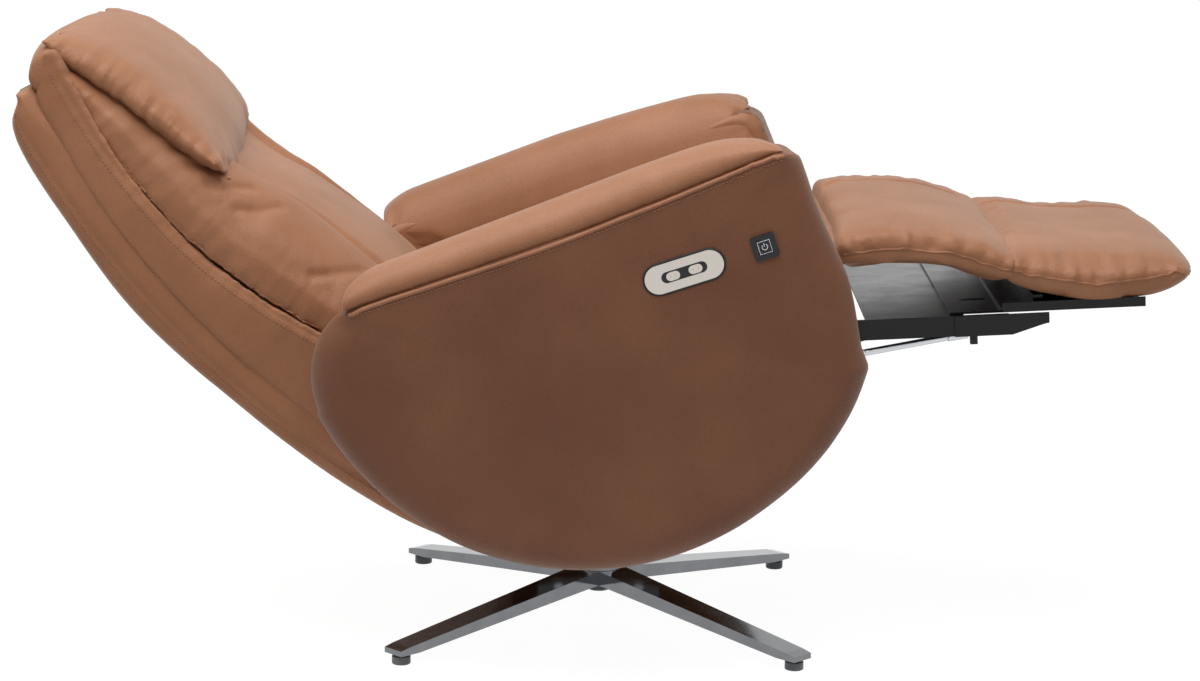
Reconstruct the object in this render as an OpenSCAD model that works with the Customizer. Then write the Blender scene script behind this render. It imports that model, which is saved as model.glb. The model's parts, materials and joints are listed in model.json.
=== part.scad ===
// Power recliner armchair on a four-star swivel base, in millimetres.
// Origin: on the floor under the hub. +X is the way the sitter faces, +Z is up.
// It is drawn fully reclined with the footrest out.

/* [Base] */
// Distance between the centres of neighbouring glides
foot_span = 500; // [440:10:540]
// Diameter of the hub in the middle of the star
hub_d = 58; // [54:1:70]
// Height of the hub's upper face above the floor
hub_top = 66; // [62:1:76]
// Height of the hub itself
hub_h = 20; // [18:1:24]
// Width of a base arm at its tip
arm_tip_w = 32; // [26:1:40]
// Width of a base arm at the hub
arm_root_w = 46; // [40:1:52]
// Thickness of a base arm at its tip
arm_tip_h = 10; // [8:1:16]
// Diameter of a glide
glide_d = 24; // [18:1:30]
// Height of a glide
glide_h = 14; // [10:1:18]

/* [Column] */
// Diameter of the turning post
post_d = 28; // [24:1:30]
// Wall of the swivel bush
bush_wall = 3; // [2:0.5:3.5]
// Wall of the column sleeve
sleeve_wall = 3; // [2:0.5:4]
// Height of the underside of the swivel plate
plate_z = 160; // [156:1:170]
// Thickness of the swivel plate
plate_t = 6; // [5:0.5:8]
// Length of the swivel plate
plate_l = 200; // [180:5:210]

/* [Tilt] */
// Height of the tilt pin above the floor
pivot_z = 300; // [296:1:306]
// Diameter of the tilt pin
tilt_pin_d = 16; // [14:1:20]
// Distance from the middle to a yoke's inner face
yoke_y = 150; // [130:5:170]
// Thickness of a yoke
yoke_t = 6; // [5:0.5:8]
// How far the body leans back at rest, in degrees
rest_tilt = 18.5; // [17:0.5:19]

/* [Seat frame] */
// Distance from the middle to a seat side's inner face
side_y = 235; // [234:0.5:236]
// Thickness of the steel sides
side_t = 4; // [3:0.5:5]
// Height of a seat side's lower edge in the upright body
side_low = 292; // [286:1:298]
// Height of a seat side's upper edge in the upright body
side_high = 341; // [339:0.5:345]
// Diameter of the seat's cross tubes
tube_d = 25; // [20:1:28]
// Wall of the seat's cross tubes
tube_wall = 2; // [1.5:0.5:3]
// Place of the front cross tube
front_tube_x = 165; // [150:5:170]
// Place of the rear cross tube
rear_tube_x = -120; // [-130:5:-105]

/* [Seat cushion] */
// Half width of the seat and back cushions
cushion_half = 262; // [256:1:264]
// Rear end of the seat cushion
cushion_rear = -160; // [-170:1:-150]
// Front end of the seat cushion
cushion_front = 340; // [330:1:343]
// Height of the cushion's front above the floor when upright
cushion_top = 445; // [435:1:460]

/* [Arms] */
// Distance from the middle to an arm's inner face
arm_inner = 272; // [270:1:276]
// Distance from the middle to an arm's outer face
arm_outer = 388; // [380:1:400]
// Radius of an arm's round lower edge
arm_round = 357; // [345:1:362]
// Front edge of an arm
arm_front = 346; // [340:1:352]
// Height of the arm pad's crest above its seam
arm_rise = 37; // [30:1:42]

/* [Controls] */
// Length of the control plate
control_l = 98; // [90:1:104]
// Height of the control plate
control_h = 35; // [32:1:40]
// Thickness of the control plate
control_t = 3; // [2.5:0.5:4]
// Length of a rocker
rocker_l = 17; // [15:0.5:19]
// Height of a rocker
rocker_h = 10.5; // [9:0.5:11]
// Side of the power switch's pad
power_side = 30; // [26:1:34]

/* [Back] */
// Radius of the back's curve at the rear of its boxing
back_bend = 1240; // [1236:1:1244]
// Thickness of the outer shell
shell_t = 38; // [28:1:38]
// Radial width of the back's steel sides
back_side_w = 40; // [34:1:42]
// Diameter of the back's crossbars
crossbar_d = 18; // [16:1:20]
// Diameter of the recline pins
recline_pin_d = 12; // [10:1:14]
// Depth of the channels beside the back's centre panel
channel_depth = 20; // [10:1:26]

/* [Headrest] */
// Half width of the head pillow
pillow_half = 250; // [240:1:258]
// Diameter of the headrest's hinge pin
head_pin_d = 8; // [6:1:9]

/* [Footrest] */
// Place of the footrest's pivot ahead of the tilt pin
swing_x = 307; // [304:1:309]
// Height of the footrest's pivot in the upright body
swing_z = 382; // [380:1:384]
// Slope of the rails below the seat's level, in degrees
rail_drop = 15; // [14:0.5:16]
// Diameter of the footrest's pins
foot_pin_d = 10; // [8:1:12]
// Distance from the middle to an inner rail's inner face
rail_y = 242; // [241.5:0.5:242.5]
// Length of the inner rails from the pivot
rail_l = 240; // [230:1:245]
// Height of a rail's web
rail_h = 26; // [22:1:28]
// Length of the foot pad
foot_pad_l = 255; // [245:1:260]
// Thickness of the black steel sheets
sheet_t = 3; // [2:0.5:3.5]

/* [Hidden] */

$fn = 64;
seat_gap = 0.3; // between soft pieces and what they lie against
arm_pad_gap = 0.8; // under the arms' top pads, whose seam is curved
run_gap = 0.05; // radial clearance of pins and bushes
weld_gap = 0.1; // between bolted metal faces
leather = "#b07d5f";
leather_dark = "#96654a";
steel_black = "#1c1c1e";
steel_grey = "#8d9094";
silver = "#c8cacd";

// Base and column
foot_r = foot_span / sqrt(2);
arm_end = foot_r + 14;
hub_low = hub_top - hub_h;
bush_d = post_d + 2 * bush_wall;
sleeve_d = bush_d + 2 * sleeve_wall;
hub_bore = sleeve_d + 2 * run_gap;
flange_t = 4;
sleeve_top = plate_z - 3 * flange_t;
sleeve_low = hub_low + 2.1; // just above the cap's plug
collar_w = 5;
cap_t = 12;

// Pieces of the tilting body
lug_r = 22;
ear = [-190, 370];
ear_r = 20;
swing_lug_r = 13;
tube_z = side_high - tube_d / 2 - 3.5;
spring_t = 3;
cushion_low = side_high + seat_gap;
notch_x = [214, 262];
notch_z = swing_z + swing_lug_r + 4;
core_in = mix(arm_inner, arm_outer, 0.24);
core_out = mix(arm_inner, arm_outer, 0.67);

// Outline of an arm seen from the side
arm_hub = [42, 513];
corner = [-205, 466];
corner_r = 103;
nose_r = 16;
arm_mid = [20, 400];
arm_seam = [[-310, 569], [-100, 571], [30, 575], [180, 584], [310, 594], [350, 594]];
front_turn = acos((arm_front - arm_hub[0]) / arm_round);

// The back bends about this point, in the reclined pose. A place on it is an angle and a radius.
bend_mid = [372, 1313];
shell_gap = 6;
shell_in = back_bend + shell_gap;
rail_out = shell_in - 1;
rail_in = rail_out - back_side_w;
crossbar_r = rail_in + crossbar_d / 2 + 1;
bars_at = [30.2, 54];
back_top = 29.2;
back_low = 57.5;
shell_low = 64.5;
back_rail_y = side_y - 1 - side_t;
gusset_y = back_rail_y + side_t + seat_gap;
pin_tip = side_y + side_t + 2;
ear_world = upright_to_rest(ear);
crest = from_bend([[28.8, 80], [30, 92], [34, 114], [38, 135], [39.6, 162], [41.8, 178], [43.9, 193],
    [47.3, 201], [51.5, 202], [55, 192], [57.5, 165]]);
channels = [[0, 0.8], [100, 0.9], [130, 1.5], [150, 0.7], [185, 0], [262, 0]];

// Headrest
head_hinge = [26.9, back_bend - 62];
strap_y = 22;
strap_t = 6;
barrel_r = 7;
pillow_up = from_bend([[26.3, 66], [27.2, 102], [28.4, 127], [30.6, 152], [32.8, 167], [34.7, 173],
    [36.3, 172], [37.9, 164], [38.7, 152]]);
pillow_low = from_bend([[26.3, 56], [27.5, 62], [28.4, 83], [30, 99], [34, 121], [38, 138], [38.7, 142]]);
crown_low = 28.25;
seat_step = 0.02; // degrees, about 0.4 mm along the bend
crown_r = [back_bend - 11, back_bend - 47];
crown_up = [[crown_r[1], 26.4], [back_bend - 28, 26.7], [crown_r[0], 27.4]];

// Footrest, in a frame at its pivot with X along the rails
rail_top = -27;
tray_top = rail_top - 1;
slide_gap = 0.5; // between the two trays
inner_tray_x = [62, 185];
outer_tray_x = [168, 300];
board_x = [232, 410];
board_z = tray_top + slide_gap + 2 * sheet_t;
foot_pad_x = 243;
calf_x = [26.9, 242];
tray_half = side_y - 1;
outer_y = rail_y + side_t + seat_gap;

// Places and frames
function upright_to_rest(p) = let (x = p[0], z = p[1] - pivot_z)
    [x * cos(rest_tilt) - z * sin(rest_tilt), pivot_z + x * sin(rest_tilt) + z * cos(rest_tilt)];
function bent(at, r) = [bend_mid[0] - r * cos(at), bend_mid[1] - r * sin(at)];
function eased(t) = (1 - cos(180 * t)) / 2;
function dome(u, power) = pow(max(0, 1 - pow(abs(u), power)), 1 / power);
function mix(a, b, t) = a + (b - a) * t;
function arc(mid, r, from, to, steps) =
    [for (i = [0:steps]) mid + r * [cos(mix(from, to, i / steps)), sin(mix(from, to, i / steps))]];
// A table of depths in front of the bend as a table of radii
function from_bend(table) = [for (p = table) [p[0], back_bend - p[1]]];
function seam_r(at) = back_bend - 50 - 0.115 * pow(max(0, at - 32), 2);
function arm_outline() = concat(
    arc(arm_hub, arm_round, -170, -front_turn, 20),
    arc([arm_front - nose_r, lookup(arm_front - nose_r, arm_seam) - nose_r], nose_r, 0, 90, 4),
    [for (x = [250, 180, 100, 30, -40, -100, -160]) [x, lookup(x, arm_seam)]],
    arc(corner, corner_r, 95, 185, 8));

module seat_frame() translate([0, 0, pivot_z]) rotate([0, -rest_tilt, 0])
    translate([0, 0, -pivot_z]) children();
module rail_frame() seat_frame() translate([swing_x, 0, swing_z]) rotate([0, rail_drop, 0]) children();
module left_or_right(side) mirror([0, side < 0 ? 1 : 0, 0]) children();

// A plate cut to an outline in X and Z, from y = low to y = high
module plate(low, high) translate([0, high, 0]) rotate([90, 0, 0]) linear_extrude(high - low) children();

// A round bar or hole across the chair
module across(d, x, z, low, high) translate([x, low, z]) rotate([-90, 0, 0]) cylinder(d = d, h = high - low);

// A pad between two sheets; each sheet gives a point for s along and t across the pad
module pad(upper, lower, along, wide) {
    ring = 2 * (along + 1);
    points = [for (j = [0:wide], sheet = [0, 1], i = [0:along])
        sheet == 0 ? upper(eased(i / along), eased(j / wide))
            : lower(eased(1 - i / along), eased(j / wide))];
    skin = [for (j = [0:wide - 1], i = [0:ring - 1])
        let (a = j * ring + i, b = j * ring + (i + 1) % ring, c = b + ring, d = a + ring)
        each [[a, c, b], [a, d, c]]];
    near = [for (i = [0:along - 1]) each [[i, i + 1, ring - 2 - i], [i, ring - 2 - i, ring - 1 - i]]];
    far = [for (f = near) [for (k = [2:-1:0]) f[k] + wide * ring]];
    polyhedron(points, concat(skin, near, far), convexity = 4);
}

// A padded plate: the outline is drawn in towards mid at each station [y, scale]
module padded_plate(outline, mid, stations) {
    n = len(outline);
    last = len(stations) - 1;
    rings = [for (st = stations, p = outline)
        let (q = mid + (p - mid) * st[1]) [q[0], st[0], q[1]]];
    mids = [[mid[0], stations[0][0], mid[1]], [mid[0], stations[last][0], mid[1]]];
    skin = [for (j = [0:last - 1], i = [0:n - 1])
        let (a = j * n + i, b = j * n + (i + 1) % n) each [[a, b, b + n], [a, b + n, a + n]]];
    caps = [for (i = [0:n - 1]) let (k = (i + 1) % n)
        each [[len(rings), k, i], [len(rings) + 1, last * n + i, last * n + k]]];
    polyhedron(concat(rings, mids), concat(skin, caps), convexity = 4);
}

module base_arm() {
    intersection() {
        plate(-arm_root_w, arm_root_w) polygon([[0, hub_low], [0, hub_top], [hub_d / 2, hub_top - 1],
            [arm_end - 14, glide_h + arm_tip_h], [arm_end, glide_h + arm_tip_h - 3], [arm_end, glide_h],
            [foot_r - glide_d / 2 - 4, glide_h], [hub_d / 2, hub_low]]);
        linear_extrude(hub_top) polygon([[0, -arm_root_w / 2], [hub_d / 2, -arm_root_w / 2],
            [arm_end, -arm_tip_w / 2], [arm_end, arm_tip_w / 2], [hub_d / 2, arm_root_w / 2],
            [0, arm_root_w / 2]]);
    }
}

module base_star() color(silver) difference() {
    union() {
        for (turn = [45:90:315]) rotate(turn) base_arm();
        translate([0, 0, hub_low]) cylinder(d = hub_d, h = hub_h);
    }
    translate([0, 0, hub_low - 1]) cylinder(d = hub_bore, h = hub_h + 2);
}

module foot_glides() color("#77797b") for (turn = [45:90:315]) rotate(turn) translate([foot_r, 0, 0])
    rotate_extrude() polygon([[0, 0], [glide_d / 2 - 1, 0], [glide_d / 2, 1], [glide_d / 2, glide_h - 4],
        [glide_d / 3, glide_h - 3], [glide_d / 3, glide_h], [0, glide_h]]);

module hub_cap() color("#5a5c5e") translate([0, 0, hub_low]) rotate_extrude()
    polygon([[0, -cap_t], [post_d / 2, -cap_t], [post_d / 2 + 2, -cap_t + 2], [post_d / 2 + 2, 0],
        [hub_bore / 2 - run_gap, 0], [hub_bore / 2 - run_gap, 2], [0, 2]]);

module column_sleeve() color(steel_grey) difference() {
    union() {
        translate([0, 0, sleeve_low]) cylinder(d = sleeve_d, h = sleeve_top - sleeve_low);
        translate([0, 0, hub_top]) cylinder(d = sleeve_d + 2 * collar_w, h = flange_t);
    }
    translate([0, 0, hub_low]) cylinder(d = bush_d + 2 * run_gap, h = sleeve_top);
}

module swivel_bush() color("#e8e4d8") difference() {
    union() {
        translate([0, 0, hub_low + 6]) cylinder(d = bush_d, h = sleeve_top - hub_low - 6);
        translate([0, 0, sleeve_top]) cylinder(d = sleeve_d, h = flange_t);
    }
    translate([0, 0, hub_low]) cylinder(d = post_d + 2 * run_gap, h = plate_z);
}

module column_post() color(steel_grey) {
    translate([0, 0, hub_low + 6]) cylinder(d = post_d, h = plate_z - hub_low - 6);
    translate([0, 0, sleeve_top + flange_t + run_gap])
        cylinder(d = sleeve_d + collar_w, h = plate_z - sleeve_top - flange_t - run_gap);
}

bolt_d = 8;
bolt_x = plate_l / 2 - 30;
bolt_y = yoke_y - 20;
foot_w = 40;
module at_bolts() for (x = [-bolt_x, bolt_x], y = [-bolt_y, bolt_y]) translate([x, y, plate_z]) children();

module swivel_plate() color(steel_black) difference() {
    translate([-plate_l / 2, -yoke_y - yoke_t, plate_z]) cube([plate_l, 2 * (yoke_y + yoke_t), plate_t]);
    at_bolts() translate([0, 0, -1]) cylinder(d = bolt_d + 4 * run_gap, h = plate_t + 2);
}

module tilt_yoke(side) {
    base_z = plate_z + plate_t;
    foot_l = plate_l / 2 - 12;
    color(steel_black) left_or_right(side) difference() {
        union() {
            plate(yoke_y, yoke_y + yoke_t) union() {
                polygon([[-foot_l, base_z], [foot_l, base_z], [foot_l, base_z + 20],
                    [lug_r * 0.95, pivot_z + 6], [-lug_r * 0.95, pivot_z + 6], [-foot_l, base_z + 20]]);
                translate([0, pivot_z]) circle(r = lug_r);
            }
            translate([-foot_l, yoke_y - foot_w, base_z]) cube([2 * foot_l, foot_w, yoke_t]);
        }
        across(tilt_pin_d + 2 * run_gap, 0, pivot_z, yoke_y - 1, yoke_y + yoke_t + 1);
        at_bolts() cylinder(d = bolt_d + 4 * run_gap, h = 3 * plate_t);
    }
}
module tilt_yoke_left() tilt_yoke(1);
module tilt_yoke_right() tilt_yoke(-1);

module tilt_pin() color(silver) {
    across(tilt_pin_d, 0, pivot_z, -side_y - side_t - 3, side_y + side_t + 3);
    for (low = [-side_y - side_t - 7, side_y + side_t + 3])
        across(tilt_pin_d + 8, 0, pivot_z, low, low + 4);
}

module yoke_bolts() color(silver) at_bolts() {
    translate([0, 0, -6]) cylinder(d = bolt_d, h = plate_t + yoke_t + 6);
    translate([0, 0, plate_t + yoke_t]) cylinder(d = 1.7 * bolt_d, h = 5);
    translate([0, 0, -6]) cylinder(d = 1.7 * bolt_d, h = 6 - weld_gap);
}

// Steel side of the seat: a rail with lugs for the tilt pin, the back and the footrest
module seat_side(side) color(steel_black) left_or_right(side) seat_frame() difference() {
    plate(side_y, side_y + side_t) union() {
        polygon([[ear[0] - ear_r, side_low + 16], [ear[0] + 12, side_low], [notch_x[0], side_low],
            [notch_x[1] + 6, side_high - 6], [swing_x + swing_lug_r, side_high - 6],
            [swing_x + swing_lug_r, swing_z], [swing_x - swing_lug_r, swing_z],
            [swing_x - swing_lug_r - 4, side_high + 12], [notch_x[1] - 10, side_high + 12],
            [notch_x[0], side_high], [ear[0] + ear_r + 6, side_high],
            [ear[0] + ear_r, ear[1]], [ear[0] - ear_r, ear[1]]]);
        translate([0, pivot_z]) circle(r = lug_r);
        translate(ear) circle(r = ear_r);
        translate([swing_x, swing_z]) circle(r = swing_lug_r);
    }
    across(tilt_pin_d + 2 * run_gap, 0, pivot_z, side_y - 1, side_y + side_t + 1);
    across(recline_pin_d + 2 * run_gap, ear[0], ear[1], side_y - 1, side_y + side_t + 1);
    across(foot_pin_d + 2 * run_gap, swing_x, swing_z, side_y - 1, side_y + side_t + 1);
    for (x = [front_tube_x, rear_tube_x])
        across(tube_d + 2 * run_gap, x, tube_z, side_y - 1, side_y + side_t + 1);
}
module seat_side_left() seat_side(1);
module seat_side_right() seat_side(-1);

// Cross tubes run through the seat sides and end on the arms' wooden cores
module cross_tube(x) color(steel_grey) seat_frame() difference() {
    across(tube_d, x, tube_z, -core_in + weld_gap, core_in - weld_gap);
    across(tube_d - 2 * tube_wall, x, tube_z, -core_in - 1, core_in + 1);
}
module front_cross_tube() cross_tube(front_tube_x);
module rear_cross_tube() cross_tube(rear_tube_x);

// Flat zigzag springs lie on the two cross tubes
spring_w = 4;
spring_swing = 22;
module zigzag(length, bends) {
    path = [for (i = [0:bends]) [i * length / bends, i % 2 == 0 ? -spring_swing : spring_swing]];
    back = [for (i = [bends:-1:0]) path[i]];
    polygon(concat([for (p = path) p - [0, spring_w]], [for (p = back) p + [0, spring_w]]));
}
module seat_springs() color(steel_grey) seat_frame() for (y = [-165, -82.5, 0, 82.5, 165])
    translate([rear_tube_x, y, tube_z + tube_d / 2 + weld_gap]) linear_extrude(spring_t)
        zigzag(front_tube_x - rear_tube_x, 11);

function seat_upper(s, t) = let (u = 2 * s - 1, v = 2 * t - 1,
    x = mix(cushion_rear, cushion_front, s))
    [x - 6 * (1 - dome(v, 3)) * sign(u) * pow(abs(u), 8), v * cushion_half,
        mix(cushion_top - 72, cushion_top - 50, s) + mix(30, 50, s) * dome(u, 4) * dome(v, 3)
            + 20 * dome(v, 2) * dome(u, 2)];
function seat_lower(s, t) = let (x = mix(cushion_rear, cushion_front, s))
    [x, (2 * t - 1) * (cushion_half - 3), lookup(x, [[notch_x[0], cushion_low], [notch_x[1], notch_z]])];
module seat_cushion() color(leather) seat_frame()
    pad(function(s, t) seat_upper(s, t), function(s, t) seat_cut(s, t), 12, 12);
function seat_cut(s, t) = let (p = seat_lower(s, t), top = seat_upper(s, t)[2])
    [p[0], p[1], min(p[2], top - 8)];

module recline_pins() color(silver) seat_frame() for (side = [-1, 1]) left_or_right(side)
    across(recline_pin_d, ear[0], ear[1], back_rail_y - 2, pin_tip);
module footrest_pins() color(silver) seat_frame() for (side = [-1, 1]) left_or_right(side)
    across(foot_pin_d, swing_x, swing_z, side_y - 0.5, rail_y + side_t);

// Each motor hangs from a cross tube by a clamp
motor_w = 62;
module motor(tube_x, block_x, block_l, y) color(steel_black) seat_frame() difference() {
    union() {
        translate([block_x, y - motor_w / 2, tube_z - 105]) cube([block_l, motor_w, 68]);
        across(tube_d + 7, tube_x, tube_z, y - 18, y + 18);
        translate([tube_x - 9, y - 18, tube_z - 50]) cube([18, 36, 40]);
    }
    across(tube_d + 2 * run_gap, tube_x, tube_z, y - 19, y + 19);
}
module recline_motor() motor(rear_tube_x, rear_tube_x - 16, 96, -60);
module footrest_motor() motor(front_tube_x, front_tube_x - 80, 92, 60);

// Arms: a wooden core between an outer and an inner panel, with a pad on top
module arm_core(side) color("#c9a877") left_or_right(side) seat_frame() plate(core_in, core_out)
    polygon([for (p = arm_outline()) arm_mid + (p - arm_mid) * 0.94]);
module arm_core_left() arm_core(1);
module arm_core_right() arm_core(-1);

module arm_outer_pad(side) color(leather_dark) left_or_right(side) seat_frame()
    padded_plate(arm_outline(), arm_mid, [[core_out + seat_gap, 0.98], [core_out + 8, 1],
        [arm_outer - 15, 0.997], [arm_outer - 7, 0.982], [arm_outer - 2, 0.95], [arm_outer, 0.87]]);
module arm_outer_pad_left() arm_outer_pad(1);
module arm_outer_pad_right() arm_outer_pad(-1);

inner_low = side_high + 8;
inner_mid = [arm_mid[0], 470];
module arm_inner_pad(side) color(leather) left_or_right(side) seat_frame()
    padded_plate([for (p = arm_outline()) [p[0], max(p[1], inner_low)]], inner_mid,
        [[arm_inner, 0.9], [arm_inner + 2, 0.96], [arm_inner + 7, 0.99], [core_in - seat_gap, 0.995]]);
module arm_inner_pad_left() arm_inner_pad(1);
module arm_inner_pad_right() arm_inner_pad(-1);

arm_pad_x = [corner[0] - 40, arm_front - 14];
arm_swell = [[arm_pad_x[0], 0], [arm_pad_x[0] + 12, 0.4], [arm_pad_x[0] + 40, 0.78], [-32, 0.96], [97, 1],
    [246, 0.86], [290, 0.52], [311, 0.3], [arm_pad_x[1], 0]];
function arm_pad_point(s, t, height) = let (x = mix(arm_pad_x[0], arm_pad_x[1], s), v = 2 * t - 1)
    [x, mix(arm_inner + 2, arm_outer - 2, t), lookup(x, arm_seam) + height];
module arm_top_pad(side) color(leather) left_or_right(side) seat_frame() pad(
    function(s, t) arm_pad_point(s, t, 5 + (arm_rise - 5) * dome(2 * t - 1, 2.4)
        * lookup(mix(arm_pad_x[0], arm_pad_x[1], s), arm_swell)),
    function(s, t) arm_pad_point(s, t, arm_pad_gap), 14, 8);
module arm_top_pad_left() arm_top_pad(1);
module arm_top_pad_right() arm_top_pad(-1);

// Controls on the right arm, seen from outside
control_at = [166, 491];
power_at = [267, 491];
inlay_l = 57;
inlay_h = 13.5;
rocker_at = 14;
key_gap = 0.4;
rim_y = -arm_outer - seat_gap;
module stadium(l, h) {
    square([l - h, h], center = true);
    for (x = [-1, 1]) translate([x * (l - h) / 2, 0]) circle(d = h);
}
module outward(place, low, high) translate([place[0], -low, place[1]]) rotate([90, 0, 0])
    linear_extrude(high - low) children();
module control_plate() color(silver) seat_frame() difference() {
    outward(control_at, -rim_y, -rim_y + control_t) stadium(control_l, control_h);
    outward(control_at, -rim_y + 0.8, -rim_y + control_t + 1) stadium(inlay_l + 0.2, inlay_h + 0.2);
}
module control_inlay() color("black") seat_frame() difference() {
    outward(control_at, -rim_y + 0.8, -rim_y + control_t) stadium(inlay_l, inlay_h);
    for (x = [-rocker_at, rocker_at]) outward(control_at + [x, 0], -rim_y + 1.2, -rim_y + control_t + 1)
        stadium(rocker_l + 2 * key_gap, rocker_h + 2 * key_gap);
}
module rocker(x) color(silver) seat_frame()
    outward(control_at + [x, 0], -rim_y + control_t - 0.6, -rim_y + control_t + 1.2)
        stadium(rocker_l, rocker_h);
module rocker_rear() rocker(-rocker_at);
module rocker_front() rocker(rocker_at);

button_side = power_side * 0.55;
button_travel = 0.8;
module rounded_square(side, r) {
    square([side, side - 2 * r], center = true);
    square([side - 2 * r, side], center = true);
    for (x = [-1, 1], y = [-1, 1]) translate([x, y] * (side / 2 - r)) circle(r = r);
}
module power_pad() color("black") seat_frame() difference() {
    outward(power_at, -rim_y, -rim_y + control_t) rounded_square(power_side, 4);
    outward(power_at, -rim_y + 0.8, -rim_y + control_t + 1) rounded_square(button_side + 2 * key_gap, 2);
}
module power_button() color("#202020") seat_frame()
    outward(power_at, -rim_y + 0.8 + button_travel + 0.1, -rim_y + control_t + 0.5)
        rounded_square(button_side, 2 - key_gap);

// Back: every piece follows the same bend
module bent_bar(from, to, r_in, r_out) translate([bend_mid[0], 0, bend_mid[1]]) rotate([90, 0, 0])
    rotate([0, 0, 180 + from]) rotate_extrude(angle = to - from, $fn = 240)
        translate([r_in, 0]) children();

module back_side(side) color(steel_black) left_or_right(side) difference() {
    union() {
        bent_bar(crown_low + seat_step, bars_at[1] + 2, rail_in, rail_out)
            translate([0, -back_rail_y - side_t]) square([back_side_w, side_t]);
        plate(back_rail_y, back_rail_y + side_t) union() {
            polygon([bent(bars_at[1] + 1, rail_in + 1), bent(bars_at[1] + 1, rail_out - 2),
                bent(bars_at[1] + 3, rail_out - 6), ear_world + [-ear_r * 0.5, -ear_r * 0.85],
                ear_world + [ear_r * 0.9, 0], ear_world + [0, ear_r * 0.98]]);
            translate(ear_world) circle(r = ear_r);
        }
    }
    across(recline_pin_d + 2 * run_gap, ear_world[0], ear_world[1],
        back_rail_y - 1, back_rail_y + side_t + 1);
}
module back_side_left() back_side(1);
module back_side_right() back_side(-1);

module back_crossbars() color(steel_grey) for (at = bars_at) let (p = bent(at, crossbar_r))
    across(crossbar_d, p[0], p[1], -back_rail_y + weld_gap, back_rail_y - weld_gap);

module back_springs() color(steel_grey) for (y = [-150, -50, 50, 150])
    bent_bar(bars_at[0] - 0.4, bars_at[1] + 0.4, crossbar_r - crossbar_d / 2 - weld_gap - spring_t, 0)
        translate([0, -y - spring_w]) square([spring_t, 2 * spring_w]);

function bent_point(at, r, y) = let (p = bent(at, r)) [p[0], y, p[1]];
function back_upper(s, t) = let (at = mix(back_top, back_low, s), v = 2 * t - 1, y = v * cushion_half,
    groove = channel_depth * lookup(abs(y), channels) * sin(180 * min(1, s + 0.25)),
    full = seam_r(at) - lookup(at, crest) - groove)
    bent_point(at, seam_r(at) - 10 - (full - 10) * dome(v, 2.6) * dome(mix(-0.9, 1, s), 5), y);
module back_cushion() color(leather) pad(
    function(s, t) back_upper(s, t),
    function(s, t) let (at = mix(back_top, back_low, s))
        bent_point(at, seam_r(at), (2 * t - 1) * (cushion_half - 2)),
    16, 18);

module back_gusset(side) color(leather_dark) left_or_right(side) pad(
    function(s, t) let (at = mix(back_top, back_low, s))
        bent_point(at, seam_r(at) + seat_gap, mix(gusset_y, cushion_half - 2, t)),
    function(s, t) let (at = mix(back_top, back_low, s))
        bent_point(at, back_bend - 3 * (1 - dome(t, 3)), mix(gusset_y, cushion_half - 1, t)), 16, 4);
module back_gusset_left() back_gusset(1);
module back_gusset_right() back_gusset(-1);

module back_shell() color(leather_dark) pad(
    function(s, t) bent_point(mix(back_top - 0.4, shell_low, s), shell_in, (2 * t - 1) * (cushion_half - 4)),
    function(s, t) bent_point(mix(back_top - 0.4, shell_low, s), shell_in + 16
        + (shell_t - 16) * dome(2 * t - 1, 6) * dome(2 * s - 1, 8),
        (2 * t - 1) * (cushion_half - 4)), 16, 10);

function crown_point(s, t, at) = bent_point(at, mix(crown_r[0], crown_r[1], s),
    (2 * t - 1) * (cushion_half - 3));
module back_crown() color(leather) pad(
    function(s, t) let (r = mix(crown_r[0], crown_r[1], s), top = lookup(r, crown_up))
        crown_point(s, t, 27.9 - (27.9 - top) * dome(2 * t - 1, 3) * dome(2 * s - 1, 5)),
    function(s, t) crown_point(s, t, crown_low), 8, 10);

// Headrest: straps on the upper crossbar carry a hinge, and a steel leaf runs into the pillow
hinge_at = bent(head_hinge[0], head_hinge[1]);
function by_hinge(at, r) = bent(at, head_hinge[1] + r);
bar_at = bent(bars_at[0], crossbar_r);
module headrest_straps() color(steel_black) for (side = [-1, 1]) left_or_right(side) difference() {
    plate(strap_y, strap_y + strap_t) union() {
        polygon([bent(bars_at[0] + 0.4, crossbar_r - crossbar_d / 2 - 2), bent(bars_at[0], crossbar_r + 12),
            bent(bars_at[0] - 0.6, crossbar_r + 6), by_hinge(28.5, 20), by_hinge(28.4, 10), by_hinge(26.9, 6),
            by_hinge(27, -5), by_hinge(28.6, 1), by_hinge(28.95, 14)]);
        translate(bar_at) circle(d = crossbar_d + 8);
        translate(hinge_at) circle(r = barrel_r);
    }
    across(crossbar_d + 2 * run_gap, bar_at[0], bar_at[1], strap_y - 1, strap_y + strap_t + 1);
    across(head_pin_d + 2 * run_gap, hinge_at[0], hinge_at[1], strap_y - 1, strap_y + strap_t + 1);
}

module headrest_pin() color(silver)
    across(head_pin_d, hinge_at[0], hinge_at[1], -strap_y - strap_t - 1, strap_y + strap_t + 1);

leaf_half = strap_y - 0.5;
module headrest_plate() color(steel_grey) difference() {
    union() {
        across(2 * barrel_r, hinge_at[0], hinge_at[1], -leaf_half, leaf_half);
        plate(-leaf_half, leaf_half) polygon([by_hinge(26.7, 2), by_hinge(26.8, -6), by_hinge(29.4, -58),
            by_hinge(36, -98), by_hinge(36.2, -94), by_hinge(29.6, -54), by_hinge(27.1, -4)]);
    }
    across(head_pin_d + 2 * run_gap, hinge_at[0], hinge_at[1], -leaf_half - 1, leaf_half + 1);
}

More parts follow.
